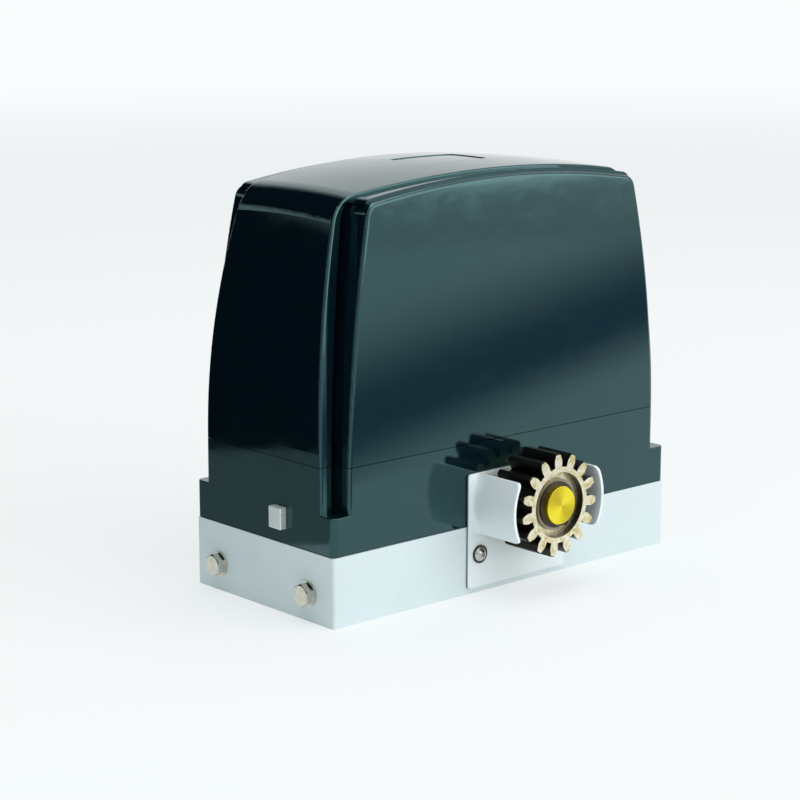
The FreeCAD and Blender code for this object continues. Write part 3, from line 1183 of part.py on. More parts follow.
# ---------------------------------------------------------------- lower housing and bonnet
def rounded_block(half_x, half_y, radius, z0, z1):
    block = box(-half_x, half_x, -half_y, half_y, z0, z1)
    return fillet(block, radius, lambda c, e: abs(c.z - (z0 + z1) / 2) < 0.1)


def bonnet_screw_places():
    return [-BONNET_SCREW_X, BONNET_SCREW_X]


def housing_shells():
    core, cap, rim, band, slab = outer_form()
    band = fillet(band, BAND_EDGE_RADIUS, lambda c, e: is_band_edge(c, e))
    slab = fillet(slab, PANEL_EDGE_RADIUS, lambda c, e: is_panel_edge(c, e))
    cap = fillet(cap, CAP_EDGE_RADIUS, lambda c, e: c.z > TOP_HEIGHT - 9 and abs(c.y) > HALF_W - CAP_SETBACK - 5
                 and abs(c.x) < 1)
    body = band.fuse(slab).cut(corner_grooves(0.0))
    parting = PARTING_HEIGHT
    inside = inner_form(PLASTIC_WALL)
    tight = inner_form(PLASTIC_WALL + LIP_CLEARANCE + LIP_WALL)
    loose = inner_form(PLASTIC_WALL + LIP_CLEARANCE)

    skirt = union([rounded_block(HALF_L, HALF_W, 4.0, BASE_HEIGHT + 0.8, SKIRT_TOP),
                   rounded_block(HALF_L - 1, HALF_W - 1, 3.0, BASE_HEIGHT, BASE_HEIGHT + 1)])
    skirt = fillet(skirt, 0.6, lambda c, e: abs(c.z - SKIRT_TOP) < 0.01)
    lower = skirt.fuse(slice_z(body, SKIRT_TOP - 5, parting - PARTING_GAP))
    lower = lower.cut(slice_z(inside, FLOOR_TOP, parting + 1))
    opening = box(-HALF_L + PLASTIC_WALL + FLOOR_RIM_X, HALF_L - PLASTIC_WALL - FLOOR_RIM_X,
                  -HALF_W + PLASTIC_WALL + FLOOR_RIM_Y, HALF_W - PLASTIC_WALL - FLOOR_RIM_Y,
                  BASE_HEIGHT - 1, FLOOR_TOP + 1)
    lower = lower.cut([
        opening,
        box(AXIS_OFFSET - CASE_BOSS_RADIUS - 2, AXIS_OFFSET + CASE_BOSS_RADIUS + 2,
            -HALF_W + PLASTIC_WALL, 0, BASE_HEIGHT - 1, FLOOR_TOP + 1),
        cyl_y(AXIS_OFFSET, AXIS_HEIGHT, SHAFT_OPENING, FRONT - 1, FRONT + 10),
        cyl_x(RELEASE_Y, RELEASE_HEIGHT, RELEASE_SHAFT_RADIUS + 2.0, -HALF_L - 1, -HALF_L + 10)])
    for side in (-1, 1):
        for y in (-HOUSING_SCREW_Y, HOUSING_SCREW_Y):
            lower = lower.cut(cyl_z(side * HOUSING_SCREW_X, y, M4_RADIUS, BASE_HEIGHT - 1, FLOOR_TOP + 1))
    for x in bonnet_screw_places():
        lower = lower.cut(cyl_y(x, BONNET_SCREW_Z, M4_RADIUS, HALF_W - 10, HALF_W + 1))

    top = slice_z(body, parting, TOP_HEIGHT + 10).fuse([cap, rim])
    top = top.cut(slice_z(tight, parting - 1, parting + 4))
    top = top.cut(slice_z(inside, parting + 4, TOP_HEIGHT + 10))
    lip = slice_z(loose, parting - LIP_DEPTH, parting + 1).cut(slice_z(tight, parting - LIP_DEPTH - 1, parting + 2))
    top = top.fuse(lip)
    for x in bonnet_screw_places():
        slot = union([cyl_y(x, BONNET_SCREW_Z, M4_RADIUS + 0.6, HALF_W - 12, HALF_W - PLASTIC_WALL),
                      box(x - M4_RADIUS - 0.6, x + M4_RADIUS + 0.6, HALF_W - 12, HALF_W - PLASTIC_WALL,
                          parting - LIP_DEPTH - 2, BONNET_SCREW_Z)])
        top = top.cut(slot)
    badge = rounded_block(BADGE_LENGTH / 2, BADGE_WIDTH / 2, 4.0, TOP_HEIGHT - 10, TOP_HEIGHT + 5)
    sunk = crown_barrel().translated(V(0, 0, -BADGE_DEPTH))
    top = top.cut(badge.cut(sunk))
    return lower, top


def is_band_edge(c, e):
    return abs(c.y) > 40 and abs(c.x) > HALF_L - 35 and c.z > BASE_HEIGHT + 1


def is_panel_edge(c, e):
    return abs(c.y) > HALF_W - 6 and c.z > BASE_HEIGHT + 1 and (abs(c.x) > HALF_L - 40 or c.z > PANEL_TOP - 6)


def lower_housing_screws():
    screw = pan_screw(M4_RADIUS, 12.0, M4_HEAD, 2.6)
    return group([placed(screw, (s * HOUSING_SCREW_X, y, FLOOR_TOP)) for s in (-1, 1)
                  for y in (-HOUSING_SCREW_Y, HOUSING_SCREW_Y)])


def bonnet_fixings():
    screws, nuts = [], []
    inner = HALF_W - PLASTIC_WALL - LIP_CLEARANCE - LIP_WALL
    for x in bonnet_screw_places():
        screws.append(placed(pan_screw(M4_RADIUS, 12.0, M4_HEAD, 2.6), (x, HALF_W, BONNET_SCREW_Z), (0, 1, 0)))
        nuts.append(placed(hex_nut(M4_RADIUS, 7.0, 3.2), (x, inner - 0.35, BONNET_SCREW_Z), (0, -1, 0)))
    return screws, nuts


def release_bush():
    outer = RELEASE_SHAFT_RADIUS + 2.0
    flange = cyl_x(RELEASE_Y, RELEASE_HEIGHT, outer + 2, -HALF_L + PLASTIC_WALL, -HALF_L + PLASTIC_WALL + 2)
    body = cyl_x(RELEASE_Y, RELEASE_HEIGHT, outer, -HALF_L, -HALF_L + PLASTIC_WALL + 2)
    return union([flange, body]).cut(cyl_x(RELEASE_Y, RELEASE_HEIGHT, RELEASE_SHAFT_RADIUS + RUNNING_GAP,
                                           -HALF_L - 1, -HALF_L + 10))


# ---------------------------------------------------------------- build
def build():
    os.makedirs("parts", exist_ok=True)
    save("ground_plate", ground_plate())
    save("base_frame", base_frame())
    save("pinion_guard", pinion_guard())
    end_bolts, end_washers, end_nuts = end_fasteners()
    guard_screws, guard_rings, guard_nuts = guard_fasteners()
    foot_bolts, foot_nuts = case_bolts()
    bonnet_screws, bonnet_nuts = bonnet_fixings()
    save("end_bolts", group(end_bolts))
    save("end_bolt_washers", group(end_washers))
    save("guard_screws", group(guard_screws))
    save("guard_screw_rings", group(guard_rings))
    save("case_screws", group(foot_bolts + case_cover_screws()))
    save("bonnet_screws", group(bonnet_screws))
    save("nuts", group(end_nuts + guard_nuts + foot_nuts + bonnet_nuts))
    save("pinion", pinion())
    save("output_shaft", output_shaft())
    save("pinion_key", pinion_key())
    save("pinion_washer", pinion_washer())
    save("retaining_ring", retaining_ring())
    save("worm_wheel", worm_wheel())
    save("shaft_spacer", shaft_spacer())
    save("clutch_sleeve", clutch_sleeve())
    save("release_spindle", release_spindle())
    save("release_bush", release_bush())
    save("motor_shaft", worm_shaft())
    save("gear_case", gear_case())
    save("case_gasket", case_gasket())
    save("case_cover", case_cover())
    for name, shape in zip(("output_bearing_outers", "output_bearing_inners"), output_bearings()):
        save(name, shape)
    save("oil_seal", oil_seal())
    save("motor_housing", motor_housing())
    for name, shape in zip(("stator_core", "stator_windings"), stator()):
        save(name, shape)
    for name, shape in zip(("motor_lower_shield", "motor_upper_shield"), end_shields()):
        save(name, shape)
    save("motor_tie_bolts", tie_bolts())
    for name, shape in zip(("motor_bearing_outers", "motor_bearing_inners"), motor_bearings()):
        save(name, shape)
    save("rotor", rotor())
    save("motor_shaft_seal", worm_seal())
    for name, shape in zip(("sensor_magnet", "sensor_cap", "sensor_board"), speed_sensor()):
        save(name, shape)
    save("board_bracket", board_bracket())
    save("control_board", control_board())
    save("board_screws", board_screws())
    names = ("relays", "terminal_block", "board_modules", "filter_capacitors",
             "fuse_holder", "fuse", "button_frame", "learn_button")
    for name, shape in zip(names, board_parts()):
        save(name, shape)
    for name, shape in zip(("run_capacitor", "capacitor_clamp"), capacitor()):
        save(name, shape)
    for name, shape in zip(("transformer_core", "transformer_winding"), transformer()):
        save(name, shape)
    save("cable_grommet", cable_grommet())
    save("lower_housing_screws", lower_housing_screws())
    for name, shape in zip(("lower_housing", "bonnet"), housing_shells()):
        save(name, shape)


build()
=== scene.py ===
import bpy, bmesh, math
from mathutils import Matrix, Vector

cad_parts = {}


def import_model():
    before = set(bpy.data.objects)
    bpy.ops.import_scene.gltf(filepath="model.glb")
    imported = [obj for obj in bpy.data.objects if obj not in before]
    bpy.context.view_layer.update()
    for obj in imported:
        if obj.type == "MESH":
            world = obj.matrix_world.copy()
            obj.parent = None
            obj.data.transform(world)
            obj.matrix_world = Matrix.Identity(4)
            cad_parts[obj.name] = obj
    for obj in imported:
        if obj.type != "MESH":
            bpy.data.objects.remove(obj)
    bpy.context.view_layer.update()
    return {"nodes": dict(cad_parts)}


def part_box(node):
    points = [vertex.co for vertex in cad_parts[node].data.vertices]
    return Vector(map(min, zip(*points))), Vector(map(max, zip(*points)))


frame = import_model()
NODES = frame["nodes"]

COVER_IOR = 1.80                    # lacquered cover plastic, brighter than plain ABS
COVER_SHEEN = (0.48, 0.98, 1.0)     # its blue-green gloss
GUARD_PAINTED_SHADE_DEPTH = 0.0012                 # depth of the guard plate's edge that is painted dark as a shadow line against the base, in metres
GUARD_PAINTED_SHADE_SOFT = 0.0003            # and over which that painted shadow line fades

PAPER = (0.96, 0.99, 0.995)         # white of the floor and the world behind the object
PAPER_CENTRE = (0.08, -0.08)        # the floor's glow grows outward from here
FLOOR_GLOW = 0.62                   # share of that white in the floor near the object, the rest is lit
FLOOR_GLOW_STEPS = ((0.3, 1.0, 0.14), (2.0, 5.0, 0.23))
MIRROR_TURN = 38                    # turn of a card that the left end mirrors to the camera, in degrees


# ---------------------------------------------------------------- shader nodes
def material(name):
    mat = bpy.data.materials.new(name)
    mat.use_nodes = True
    tree = mat.node_tree
    return mat, tree, tree.nodes["Principled BSDF"]


def node(tree, kind, **inputs):
    made = tree.nodes.new(kind)
    for key, value in inputs.items():
        made.inputs[key.replace("_", " ")].default_value = value
    return made


def coords(tree, scale=(1, 1, 1)):
    """Object coordinates in metres, stretched by scale."""
    where = node(tree, "ShaderNodeTexCoord")
    mapping = node(tree, "ShaderNodeMapping")
    mapping.inputs["Scale"].default_value = scale
    tree.links.new(where.outputs["Object"], mapping.inputs["Vector"])
    return mapping.outputs["Vector"]


def noise(tree, vector, scale, detail=4.0, rough=0.6):
    made = node(tree, "ShaderNodeTexNoise", Scale=scale, Detail=detail, Roughness=rough)
    tree.links.new(vector, made.inputs["Vector"])
    return made.outputs["Fac"]


def ramp(tree, value, low, high, out_low, out_high):
    made = node(tree, "ShaderNodeMapRange")
    made.inputs["From Min"].default_value = low
    made.inputs["From Max"].default_value = high
    made.inputs["To Min"].default_value = out_low
    made.inputs["To Max"].default_value = out_high
    tree.links.new(value, made.inputs["Value"])
    return made.outputs["Result"]


def mix(tree, fac, a, b):
    made = tree.nodes.new("ShaderNodeMix")
    made.data_type = "RGBA"
    if isinstance(fac, float):
        made.inputs["Factor"].default_value = fac
    else:
        tree.links.new(fac, made.inputs["Factor"])
    for index, value in ((6, a), (7, b)):
        if isinstance(value, tuple):
            made.inputs[index].default_value = (*value, 1)
        else:
            tree.links.new(value, made.inputs[index])
    return made.outputs[2]


def mix_shader(tree, fac, first, second):
    made = node(tree, "ShaderNodeMixShader")
    tree.links.new(fac, made.inputs["Fac"])
    tree.links.new(first, made.inputs[1])
    tree.links.new(second, made.inputs[2])
    return made.outputs[0]


def maths(tree, operation, first, second=None):
    made = node(tree, "ShaderNodeMath")
    made.operation = operation
    for index, value in enumerate((first, second)):
        if isinstance(value, float):
            made.inputs[index].default_value = value
        elif value is not None:
            tree.links.new(value, made.inputs[index])
    return made.outputs[0]


def smooth(tree, value, low, high):
    made = node(tree, "ShaderNodeMapRange")
    made.interpolation_type = "SMOOTHSTEP"
    made.inputs["From Min"].default_value = low
    made.inputs["From Max"].default_value = high
    tree.links.new(value, made.inputs["Value"])
    return made.outputs["Result"]


def stepped(tree, value, start, steps):
    """start, changed softly by each (low, high, change) step as value rises."""
    total = node(tree, "ShaderNodeValue").outputs[0]
    total.default_value = start
    for low, high, change in steps:
        total = maths(tree, "ADD", total, maths(tree, "MULTIPLY", smooth(tree, value, low, high), change))
    return total


def object_xyz(tree, kind="Object"):
    """Object coordinates, or the object's own normals, with X, Y and Z apart."""
    where = node(tree, "ShaderNodeTexCoord")
    parts = node(tree, "ShaderNodeSeparateXYZ")
    tree.links.new(where.outputs[kind], parts.inputs[0])
    return parts.outputs


def facing(tree, axis, low, high):
    """1 where the surface faces along the object's axis, 0 where it stands across it."""
    size = maths(tree, "ABSOLUTE", object_xyz(tree, "Normal")[axis])
    return ramp(tree, size, low, high, 0.0, 1.0)


def bump(tree, height, strength, distance, shader):
    made = node(tree, "ShaderNodeBump", Strength=strength, Distance=distance)
    tree.links.new(height, made.inputs["Height"])
    tree.links.new(made.outputs["Normal"], shader.inputs["Normal"])


# ---------------------------------------------------------------- materials
def surface(name, base, other, rough, metallic=0.0, scale=60.0, stretch=(1, 1, 1), fine=900.0,
            bump_strength=0.05, bump_distance=0.0002, rough_spread=0.08, amount=1.0):
    """A two-tone surface with uneven roughness and a fine bump."""
    mat, tree, shader = material(name)
    where = coords(tree, stretch)
    broad = noise(tree, where, scale)
    small = noise(tree, where, fine, 2.0)
    tint = mix(tree, ramp(tree, broad, 0.35, 0.7, 0.0, amount), base, other)
    tree.links.new(tint, shader.inputs["Base Color"])
    tree.links.new(ramp(tree, broad, 0.3, 0.7, rough - rough_spread, rough + rough_spread),
                   shader.inputs["Roughness"])
    shader.inputs["Metallic"].default_value = metallic
    bump(tree, small, bump_strength, bump_distance, shader)
    return mat


def gloss_cover(name, tint, rough):
    """Glossy moulded plastic with faint flow waves, wiped smudges and fine dust."""
    mat, tree, shader = material(name)
    where = coords(tree)
    waves = noise(tree, where, 6.0, 1.0)
    smudge = noise(tree, coords(tree, (1, 1, 2.2)), 38.0, 5.0, 0.7)
    dust = noise(tree, where, 2600.0, 1.0)
    specks = ramp(tree, dust, 0.74, 0.80, 0.0, 0.05)
    tree.links.new(mix(tree, specks, tint, (0.35, 0.37, 0.38)), shader.inputs["Base Color"])
    tree.links.new(ramp(tree, smudge, 0.45, 0.75, rough * 0.75, rough * 1.9), shader.inputs["Roughness"])
    shader.inputs["IOR"].default_value = COVER_IOR
    shader.inputs["Specular Tint"].default_value = (*COVER_SHEEN, 1)
    bump(tree, waves, 0.010, 0.0006, shader)
    return mat


def cut_gear(name, face, face_other, flank):
    """Gear whose turned faces are plated and worn, with dark oiled tooth flanks."""
    mat, tree, shader = material(name)
    where = coords(tree)
    blotch = noise(tree, where, 210.0, 5.0, 0.7)
    grain = noise(tree, where, 2200.0, 2.0)
    worn = mix(tree, ramp(tree, blotch, 0.42, 0.62, 0.0, 1.0), face, face_other)
    turned = facing(tree, "Y", 0.75, 0.95)
    tree.links.new(mix(tree, turned, flank, worn), shader.inputs["Base Color"])
    tree.links.new(ramp(tree, blotch, 0.3, 0.7, 0.26, 0.44), shader.inputs["Roughness"])
    shader.inputs["Metallic"].default_value = 0.9
    bump(tree, grain, 0.12, 0.0002, shader)
    return mat


def turned_face_with_painted_sheen(name, bright, deep, centre):
    """Lathe-turned metal with a painted sheen: a bow-tie of lighter and darker colour around the axis at
    centre (x, z), standing in for the turned face's reflection, with fine tool rings.
    """
    mat, tree, shader = material(name)
    where = node(tree, "ShaderNodeTexCoord")
    shift = node(tree, "ShaderNodeMapping")
    shift.inputs["Location"].default_value = (-centre[0], 0, -centre[1])
    tree.links.new(where.outputs["Object"], shift.inputs["Vector"])
    parts = node(tree, "ShaderNodeSeparateXYZ")
    tree.links.new(shift.outputs["Vector"], parts.inputs[0])
    angle = maths(tree, "ARCTAN2", parts.outputs["Z"], parts.outputs["X"])
    # painted highlight: a bow-tie sheen, lighter and darker by turns around the axis, standing in for the
    # turned face's reflection
    painted_sheen = maths(tree, "SINE", maths(tree, "MULTIPLY", angle, 2.0))
    tree.links.new(mix(tree, ramp(tree, painted_sheen, -0.9, 0.9, 0.0, 1.0), deep, bright),
                   shader.inputs["Base Color"])
    rings = node(tree, "ShaderNodeTexWave", Scale=260.0, Distortion=0.0)
    rings.wave_type = "RINGS"
    rings.rings_direction = "Y"
    tree.links.new(shift.outputs["Vector"], rings.inputs["Vector"])
    tree.links.new(ramp(tree, rings.outputs["Fac"], 0.0, 1.0, 0.22, 0.32), shader.inputs["Roughness"])
    shader.inputs["Metallic"].default_value = 1.0
    bump(tree, rings.outputs["Fac"], 0.08, 0.0001, shader)
    return mat


def powder_coat(name, colour):
    """White powder coat: fine orange peel and faint, broad soiling."""
    mat, tree, shader = material(name)
    where = coords(tree)
    peel = noise(tree, where, 1400.0, 2.0)
    broad = noise(tree, where, 25.0)
    soil = tuple(c * 0.93 for c in colour)
    soiled = mix(tree, ramp(tree, broad, 0.4, 0.7, 0.0, 0.6), colour, soil)
    tree.links.new(soiled, shader.inputs["Base Color"])
    tree.links.new(ramp(tree, broad, 0.3, 0.7, 0.32, 0.42), shader.inputs["Roughness"])
    bump(tree, peel, 0.10, 0.0002, shader)
    return mat


def coat_with_painted_shadow_line(name, colour, back):
    """Powder coat with a painted shadow line: on the plate that ends at y = back, the side faces near its
    back are painted dark, standing in for the shade in the gap against the base.
    """
    mat = powder_coat(name, colour)
    tree = mat.node_tree
    shader = tree.nodes["Principled BSDF"]
    coat = shader.inputs["Base Color"].links[0].from_socket
    shadow_line_start = back - GUARD_PAINTED_SHADE_DEPTH
    on_plate = ramp(tree, object_xyz(tree)["Y"], shadow_line_start, shadow_line_start + GUARD_PAINTED_SHADE_SOFT, 0.0, 1.0)
    across = maths(tree, "SUBTRACT", 1.0, facing(tree, "Y", 0.3, 0.7))
    # painted shadow: the dark stretch on the plate's side faces near its back is the shade in the gap to
    # the base
    edge = maths(tree, "MULTIPLY", on_plate, across)
    tree.links.new(mix(tree, edge, coat, (0.03, 0.05, 0.06)), shader.inputs["Base Color"])
    return mat


def laminated(name, colour, dark):
    """Stacked sheets, shown as fine bands across Z."""
    mat, tree, shader = material(name)
    where = coords(tree)
    wave = node(tree, "ShaderNodeTexWave", Scale=75.0, Distortion=0.2)
    wave.bands_direction = "Z"
    tree.links.new(where, wave.inputs["Vector"])
    tree.links.new(mix(tree, wave.outputs["Fac"], colour, dark), shader.inputs["Base Color"])
    shader.inputs["Metallic"].default_value = 0.7
    shader.inputs["Roughness"].default_value = 0.45
    bump(tree, wave.outputs["Fac"], 0.3, 0.0003, shader)
    return mat


SHAFT_LOW, SHAFT_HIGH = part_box("output_shaft")
SHAFT_CENTRE = ((SHAFT_LOW[0] + SHAFT_HIGH[0]) / 2, (SHAFT_LOW[2] + SHAFT_HIGH[2]) / 2)
GUARD_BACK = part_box("pinion_guard")[1][1]

MATS = {
    "bonnet": gloss_cover("bonnet_gloss", (0.001, 0.006, 0.010), 0.08),
    "skirt": gloss_cover("skirt_gloss", (0.002, 0.010, 0.014), 0.08),
    "white": powder_coat("white_powder_coat", (0.74, 0.835, 0.85)),
    # painted light: the guard's coat is painted lighter than the base's white coat, standing in for the
    # brighter light that falls on the guard
    "guard": coat_with_painted_shadow_line("guard_coat_painted_light_and_shadow_line", (0.90, 0.96, 0.97), GUARD_BACK),
    "zinc": surface("yellow_zinc", (0.68, 0.65, 0.53), (0.52, 0.54, 0.51), 0.17, 1.0, 260.0,
                    rough_spread=0.05),
    "steel": surface("machined_steel", (0.60, 0.60, 0.58), (0.45, 0.45, 0.44), 0.30, 1.0, 90.0, (1, 1, 6)),
    "pinion": cut_gear("pinion_zinc", (0.90, 0.84, 0.68), (0.62, 0.52, 0.20), (0.030, 0.027, 0.022)),
    "shaft": turned_face_with_painted_sheen("shaft_zinc_painted_sheen", (1.0, 0.82, 0.05), (0.64, 0.50, 0.03), SHAFT_CENTRE),
    "hub": surface("hub_zinc", (0.42, 0.36, 0.27), (0.30, 0.26, 0.20), 0.38, 1.0, 150.0),
    "chrome": surface("bright_plate", (0.84, 0.88, 0.89), (0.74, 0.78, 0.79), 0.30, 0.35, 60.0,
                      rough_spread=0.06, bump_strength=0.02),
    "clip": surface("black_spring_steel", (0.045, 0.040, 0.036), (0.080, 0.070, 0.060), 0.34, 0.7, 200.0),
    "galvanised": surface("galvanised", (0.62, 0.64, 0.65), (0.48, 0.50, 0.52), 0.42, 0.9, 80.0),
    "cast": surface("cast_alloy", (0.55, 0.56, 0.57), (0.42, 0.43, 0.44), 0.50, 0.85, 70.0,
                    bump_strength=0.35, bump_distance=0.0004, fine=700.0),
    "bronze": surface("bronze", (0.66, 0.43, 0.18), (0.48, 0.30, 0.13), 0.32, 1.0, 100.0),
    "rubber": surface("black_rubber", (0.020, 0.020, 0.021), (0.035, 0.035, 0.036), 0.62, 0.0, 120.0),
    "dark": surface("dark_plastic", (0.030, 0.031, 0.034), (0.050, 0.051, 0.054), 0.45, 0.0, 150.0),
    "light": surface("light_plastic", (0.75, 0.75, 0.72), (0.66, 0.66, 0.63), 0.40, 0.0, 90.0),
    "blue": surface("relay_blue", (0.03, 0.12, 0.36), (0.05, 0.16, 0.44), 0.35, 0.0, 120.0),
    "green": surface("terminal_green", (0.05, 0.28, 0.10), (0.07, 0.34, 0.13), 0.40, 0.0, 120.0),
    "board": surface("board_green", (0.02, 0.15, 0.07), (0.04, 0.24, 0.10), 0.35, 0.0, 420.0, amount=0.8),
    "copper": surface("copper_wire", (0.48, 0.19, 0.07), (0.62, 0.28, 0.12), 0.32, 0.8, 300.0, (1, 1, 4)),
    "paper": surface("gasket_fibre", (0.22, 0.19, 0.13), (0.28, 0.25, 0.18), 0.80, 0.0, 200.0),
    "magnet": surface("magnet", (0.09, 0.09, 0.10), (0.13, 0.13, 0.14), 0.40, 0.8, 90.0),
    "lamination": laminated("laminations", (0.34, 0.35, 0.37), (0.16, 0.16, 0.18)),
    "glass": surface("fuse_glass", (0.80, 0.84, 0.84), (0.70, 0.74, 0.74), 0.10, 0.0, 80.0),
}

FINISH = {
    "bonnet": ["bonnet"],
    "skirt": ["lower_housing"],
    "white": ["base_frame"],
    "guard": ["pinion_guard"],
    "zinc": ["end_bolts", "end_bolt_washers", "case_screws", "nuts", "motor_tie_bolts", "board_screws",
             "lower_housing_screws"],
    "steel": ["guard_screws", "bonnet_screws", "pinion_key", "clutch_sleeve", "motor_shaft", "shaft_spacer",
              "output_bearing_outers", "output_bearing_inners", "motor_bearing_outers",
              "motor_bearing_inners"],
    "pinion": ["pinion"],
    "shaft": ["output_shaft"],
    "hub": ["pinion_washer"],
    "clip": ["retaining_ring"],
    "chrome": ["release_spindle"],
    "galvanised": ["ground_plate", "board_bracket", "capacitor_clamp"],
    "cast": ["gear_case", "case_cover", "motor_housing", "motor_lower_shield", "motor_upper_shield"],
    "bronze": ["worm_wheel"],
    "rubber": ["guard_screw_rings", "oil_seal", "motor_shaft_seal", "cable_grommet"],
    "dark": ["release_bush", "sensor_cap", "board_modules", "filter_capacitors", "fuse_holder",
             "learn_button"],
    "light": ["run_capacitor", "button_frame"],
    "blue": ["relays"],
    "green": ["terminal_block"],
    "board": ["control_board", "sensor_board"],
    "copper": ["stator_windings", "transformer_winding"],
    "paper": ["case_gasket"],
    "magnet": ["sensor_magnet"],
    "lamination": ["stator_core", "rotor", "transformer_core"],
    "glass": ["fuse"],
}

for finish, names in FINISH.items():
    for name in names:
        obj = NODES[name]
        obj.data.materials.clear()
        obj.data.materials.append(MATS[finish])


# ---------------------------------------------------------------- floor, light and camera
def plain(name, colour):
    """Matt stage material without gloss."""
    mat, tree, shader = material(name)
    where = coords(tree)
    tree.links.new(mix(tree, ramp(tree, noise(tree, where, 3.0), 0.3, 0.7, 0.0, 0.5), colour,
                       tuple(c * 0.99 for c in colour)), shader.inputs["Base Color"])
    shader.inputs["Roughness"].default_value = 0.9
    shader.inputs["Specular IOR Level"].default_value = 0.0
    return mat, tree, shader


def floor_reach(tree):
    """Distance over the floor from the middle of the paper."""
    place = object_xyz(tree)
    x = maths(tree, "SUBTRACT", place["X"], PAPER_CENTRE[0])
    y = maths(tree, "SUBTRACT", place["Y"], PAPER_CENTRE[1])
    squares = maths(tree, "ADD", maths(tree, "MULTIPLY", x, x), maths(tree, "MULTIPLY", y, y))
    return maths(tree, "SQRT", squares)


def seen_directly(tree):
    """Camera, gloss and glass all see the white background."""
    path = node(tree, "ShaderNodeLightPath")
    through = maths(tree, "MAXIMUM", path.outputs["Is Glossy Ray"], path.outputs["Is Transmission Ray"])
    return maths(tree, "MAXIMUM", path.outputs["Is Camera Ray"], through)


def floor():
    mesh = bpy.data.meshes.new("floor")
    bm = bmesh.new()
    bmesh.ops.create_grid(bm, x_segments=1, y_segments=1, size=12.0)
    bm.to_mesh(mesh)
    bm.free()
    obj = bpy.data.objects.new("floor", mesh)
    bpy.context.collection.objects.link(obj)
    mat, tree, shader = plain("floor_paper", (0.93, 0.95, 0.955))
    # To camera, gloss and glass the paper glows faintly, and it still takes the shadow.
    glow = node(tree, "ShaderNodeEmission", Color=(*PAPER, 1))
    share = stepped(tree, floor_reach(tree), FLOOR_GLOW, FLOOR_GLOW_STEPS)
    shown = mix_shader(tree, maths(tree, "MULTIPLY", seen_directly(tree), share), shader.outputs[0],
                       glow.outputs[0])
    tree.links.new(shown, tree.nodes["Material Output"].inputs["Surface"])
    obj.data.materials.append(mat)


def world():
    """Soft even light on the object, with white behind it."""
    made = bpy.data.worlds.new("studio")
    bpy.context.scene.world = made
    made.use_nodes = True
    tree = made.node_tree
    back = tree.nodes["Background"]
    back.inputs["Color"].default_value = (0.78, 0.85, 0.87, 1)
    back.inputs["Strength"].default_value = 0.50
    white = node(tree, "ShaderNodeBackground", Color=(*PAPER, 1))
    shown = mix_shader(tree, seen_directly(tree), back.outputs[0], white.outputs[0])
    tree.links.new(shown, tree.nodes["World Output"].inputs["Surface"])


def dark_card(name, where, turn, size, colour, fades, tilt=(0, 0), edge=0.0):
    """A dark studio card out of the picture, which only the gloss of the object shows.

    size is its width and height, and tilt turns it about X and Y. fades starts with the card's
    cover at its foot, then lists (low, high, change) steps over its height. edge is the width over
    which its right end thins out.
    """
    mesh = bpy.data.meshes.new(name)
    half, tall = size[0] / 2, size[1]
    corners = [(-half, 0, 0), (half, 0, 0), (half, 0, tall), (-half, 0, tall)]
    mesh.from_pydata(corners, [], [(0, 1, 2, 3)])
    obj = bpy.data.objects.new(name, mesh)
    bpy.context.collection.objects.link(obj)
    obj.location = where
    obj.rotation_euler = (math.radians(tilt[0]), math.radians(tilt[1]), math.radians(turn))
    mat, tree, shader = plain(name, colour)
    place = object_xyz(tree)
    share = stepped(tree, place["Z"], fades[0], fades[1:])
    if edge:
        thin = smooth(tree, place["X"], half - edge, half)
        share = maths(tree, "MULTIPLY", share, maths(tree, "SUBTRACT", 1.0, thin))
    clear = node(tree, "ShaderNodeBsdfTransparent")
    shown = mix_shader(tree, share, clear.outputs[0], shader.outputs[0])
    tree.links.new(shown, tree.nodes["Material Output"].inputs["Surface"])
    obj.data.materials.append(mat)
    obj.visible_camera = obj.visible_diffuse = obj.visible_transmission = obj.visible_shadow = False


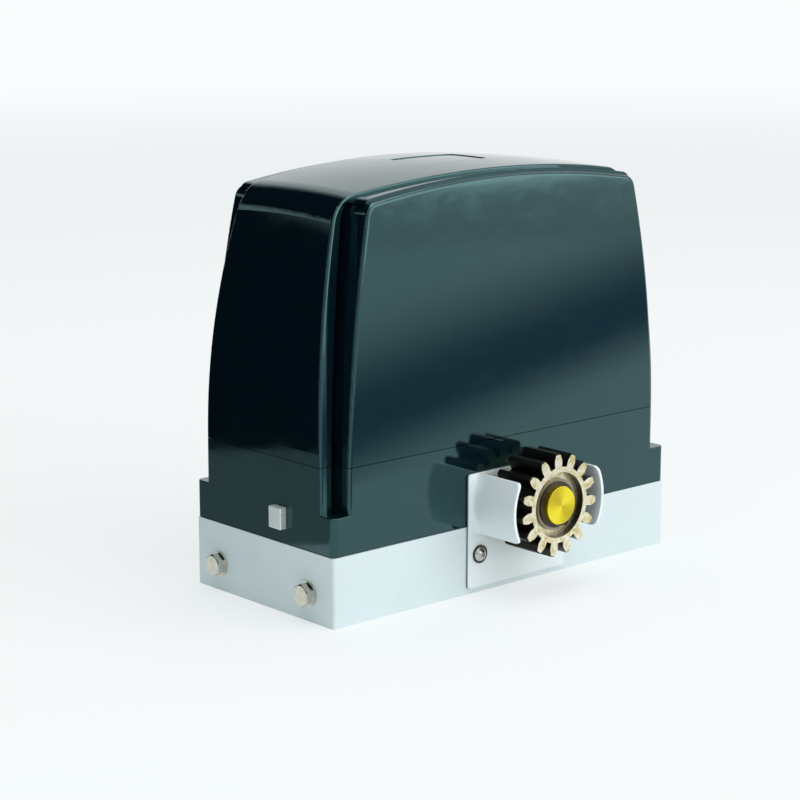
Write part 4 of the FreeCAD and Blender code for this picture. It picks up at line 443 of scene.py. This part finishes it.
def lamp(name, where, target, size, power, colour=(1, 1, 1)):
    """Rectangular softbox aimed at target."""
    data = bpy.data.lights.new(name, "AREA")
    data.shape = "RECTANGLE"
    data.size, data.size_y = size
    data.energy = power
    data.color = colour
    obj = bpy.data.objects.new(name, data)
    bpy.context.collection.objects.link(obj)
    obj.location = where
    obj.rotation_euler = (Vector(target) - Vector(where)).to_track_quat("-Z", "Y").to_euler()


floor()
world()
lamp("top_softbox", (0.1, -0.1, 1.8), (0, 0, 0.1), (1.6, 1.2), 14.0)
lamp("front_softbox", (1.0, -2.1, 1.1), (0, 0, 0.12), (2.7, 2.05), 32.5, (0.99, 1.0, 1.0))
dark_card("end_card", (-0.507, 0.260, 0), MIRROR_TURN, (2.1, 2.6), (0.001, 0.002, 0.003),
          (1.0, (0.33, 0.37, -0.85), (0.375, 0.43, 0.85), (1.6, 2.6, -1.0)), edge=0.45)
# painted shade: a grey sheet, seen only in gloss, stands in for the floor's shade beside the left end
dark_card("end_painted_shade_mat", (-0.23, 0.102, 0.003), MIRROR_TURN, (0.9, 0.29), (0.34, 0.38, 0.38), (1.0,),
          tilt=(-90, 0))
dark_card("front_card", (0.28, -0.34, 0), 0, (0.9, 0.32), (0.006, 0.12, 0.26),
          (0.0, (0.015, 0.075, 0.85), (0.09, 0.19, -0.85)), tilt=(0, -11))
dark_card("corner_card", (-0.64, -0.25, 0), 90, (1.0, 0.6), (0.20, 0.20, 0.24),
          (1.0, (0.35, 0.6, -1.0)))
lamp("edge_strip", (-0.60, -0.28, 0.22), (-0.15, -0.06, 0.19), (0.012, 0.44), 0.20, (0.85, 1.0, 1.0))

CAMERA_AT = Vector((-1.0062, -1.0906, 0.4280))
YAW, PITCH = math.radians(41.72), math.radians(-12.01)
camera = bpy.data.cameras.new("camera")
camera.sensor_width = 36.0
camera.lens = 101.97
camera.clip_start, camera.clip_end = 0.05, 60.0
view = bpy.data.objects.new("camera", camera)
bpy.context.collection.objects.link(view)
view.location = CAMERA_AT
forward = Vector((math.sin(YAW) * math.cos(PITCH), math.cos(YAW) * math.cos(PITCH), math.sin(PITCH)))
view.rotation_euler = forward.to_track_quat("-Z", "Y").to_euler()
bpy.context.scene.camera = view
bpy.context.scene.view_settings.view_transform = "Standard"
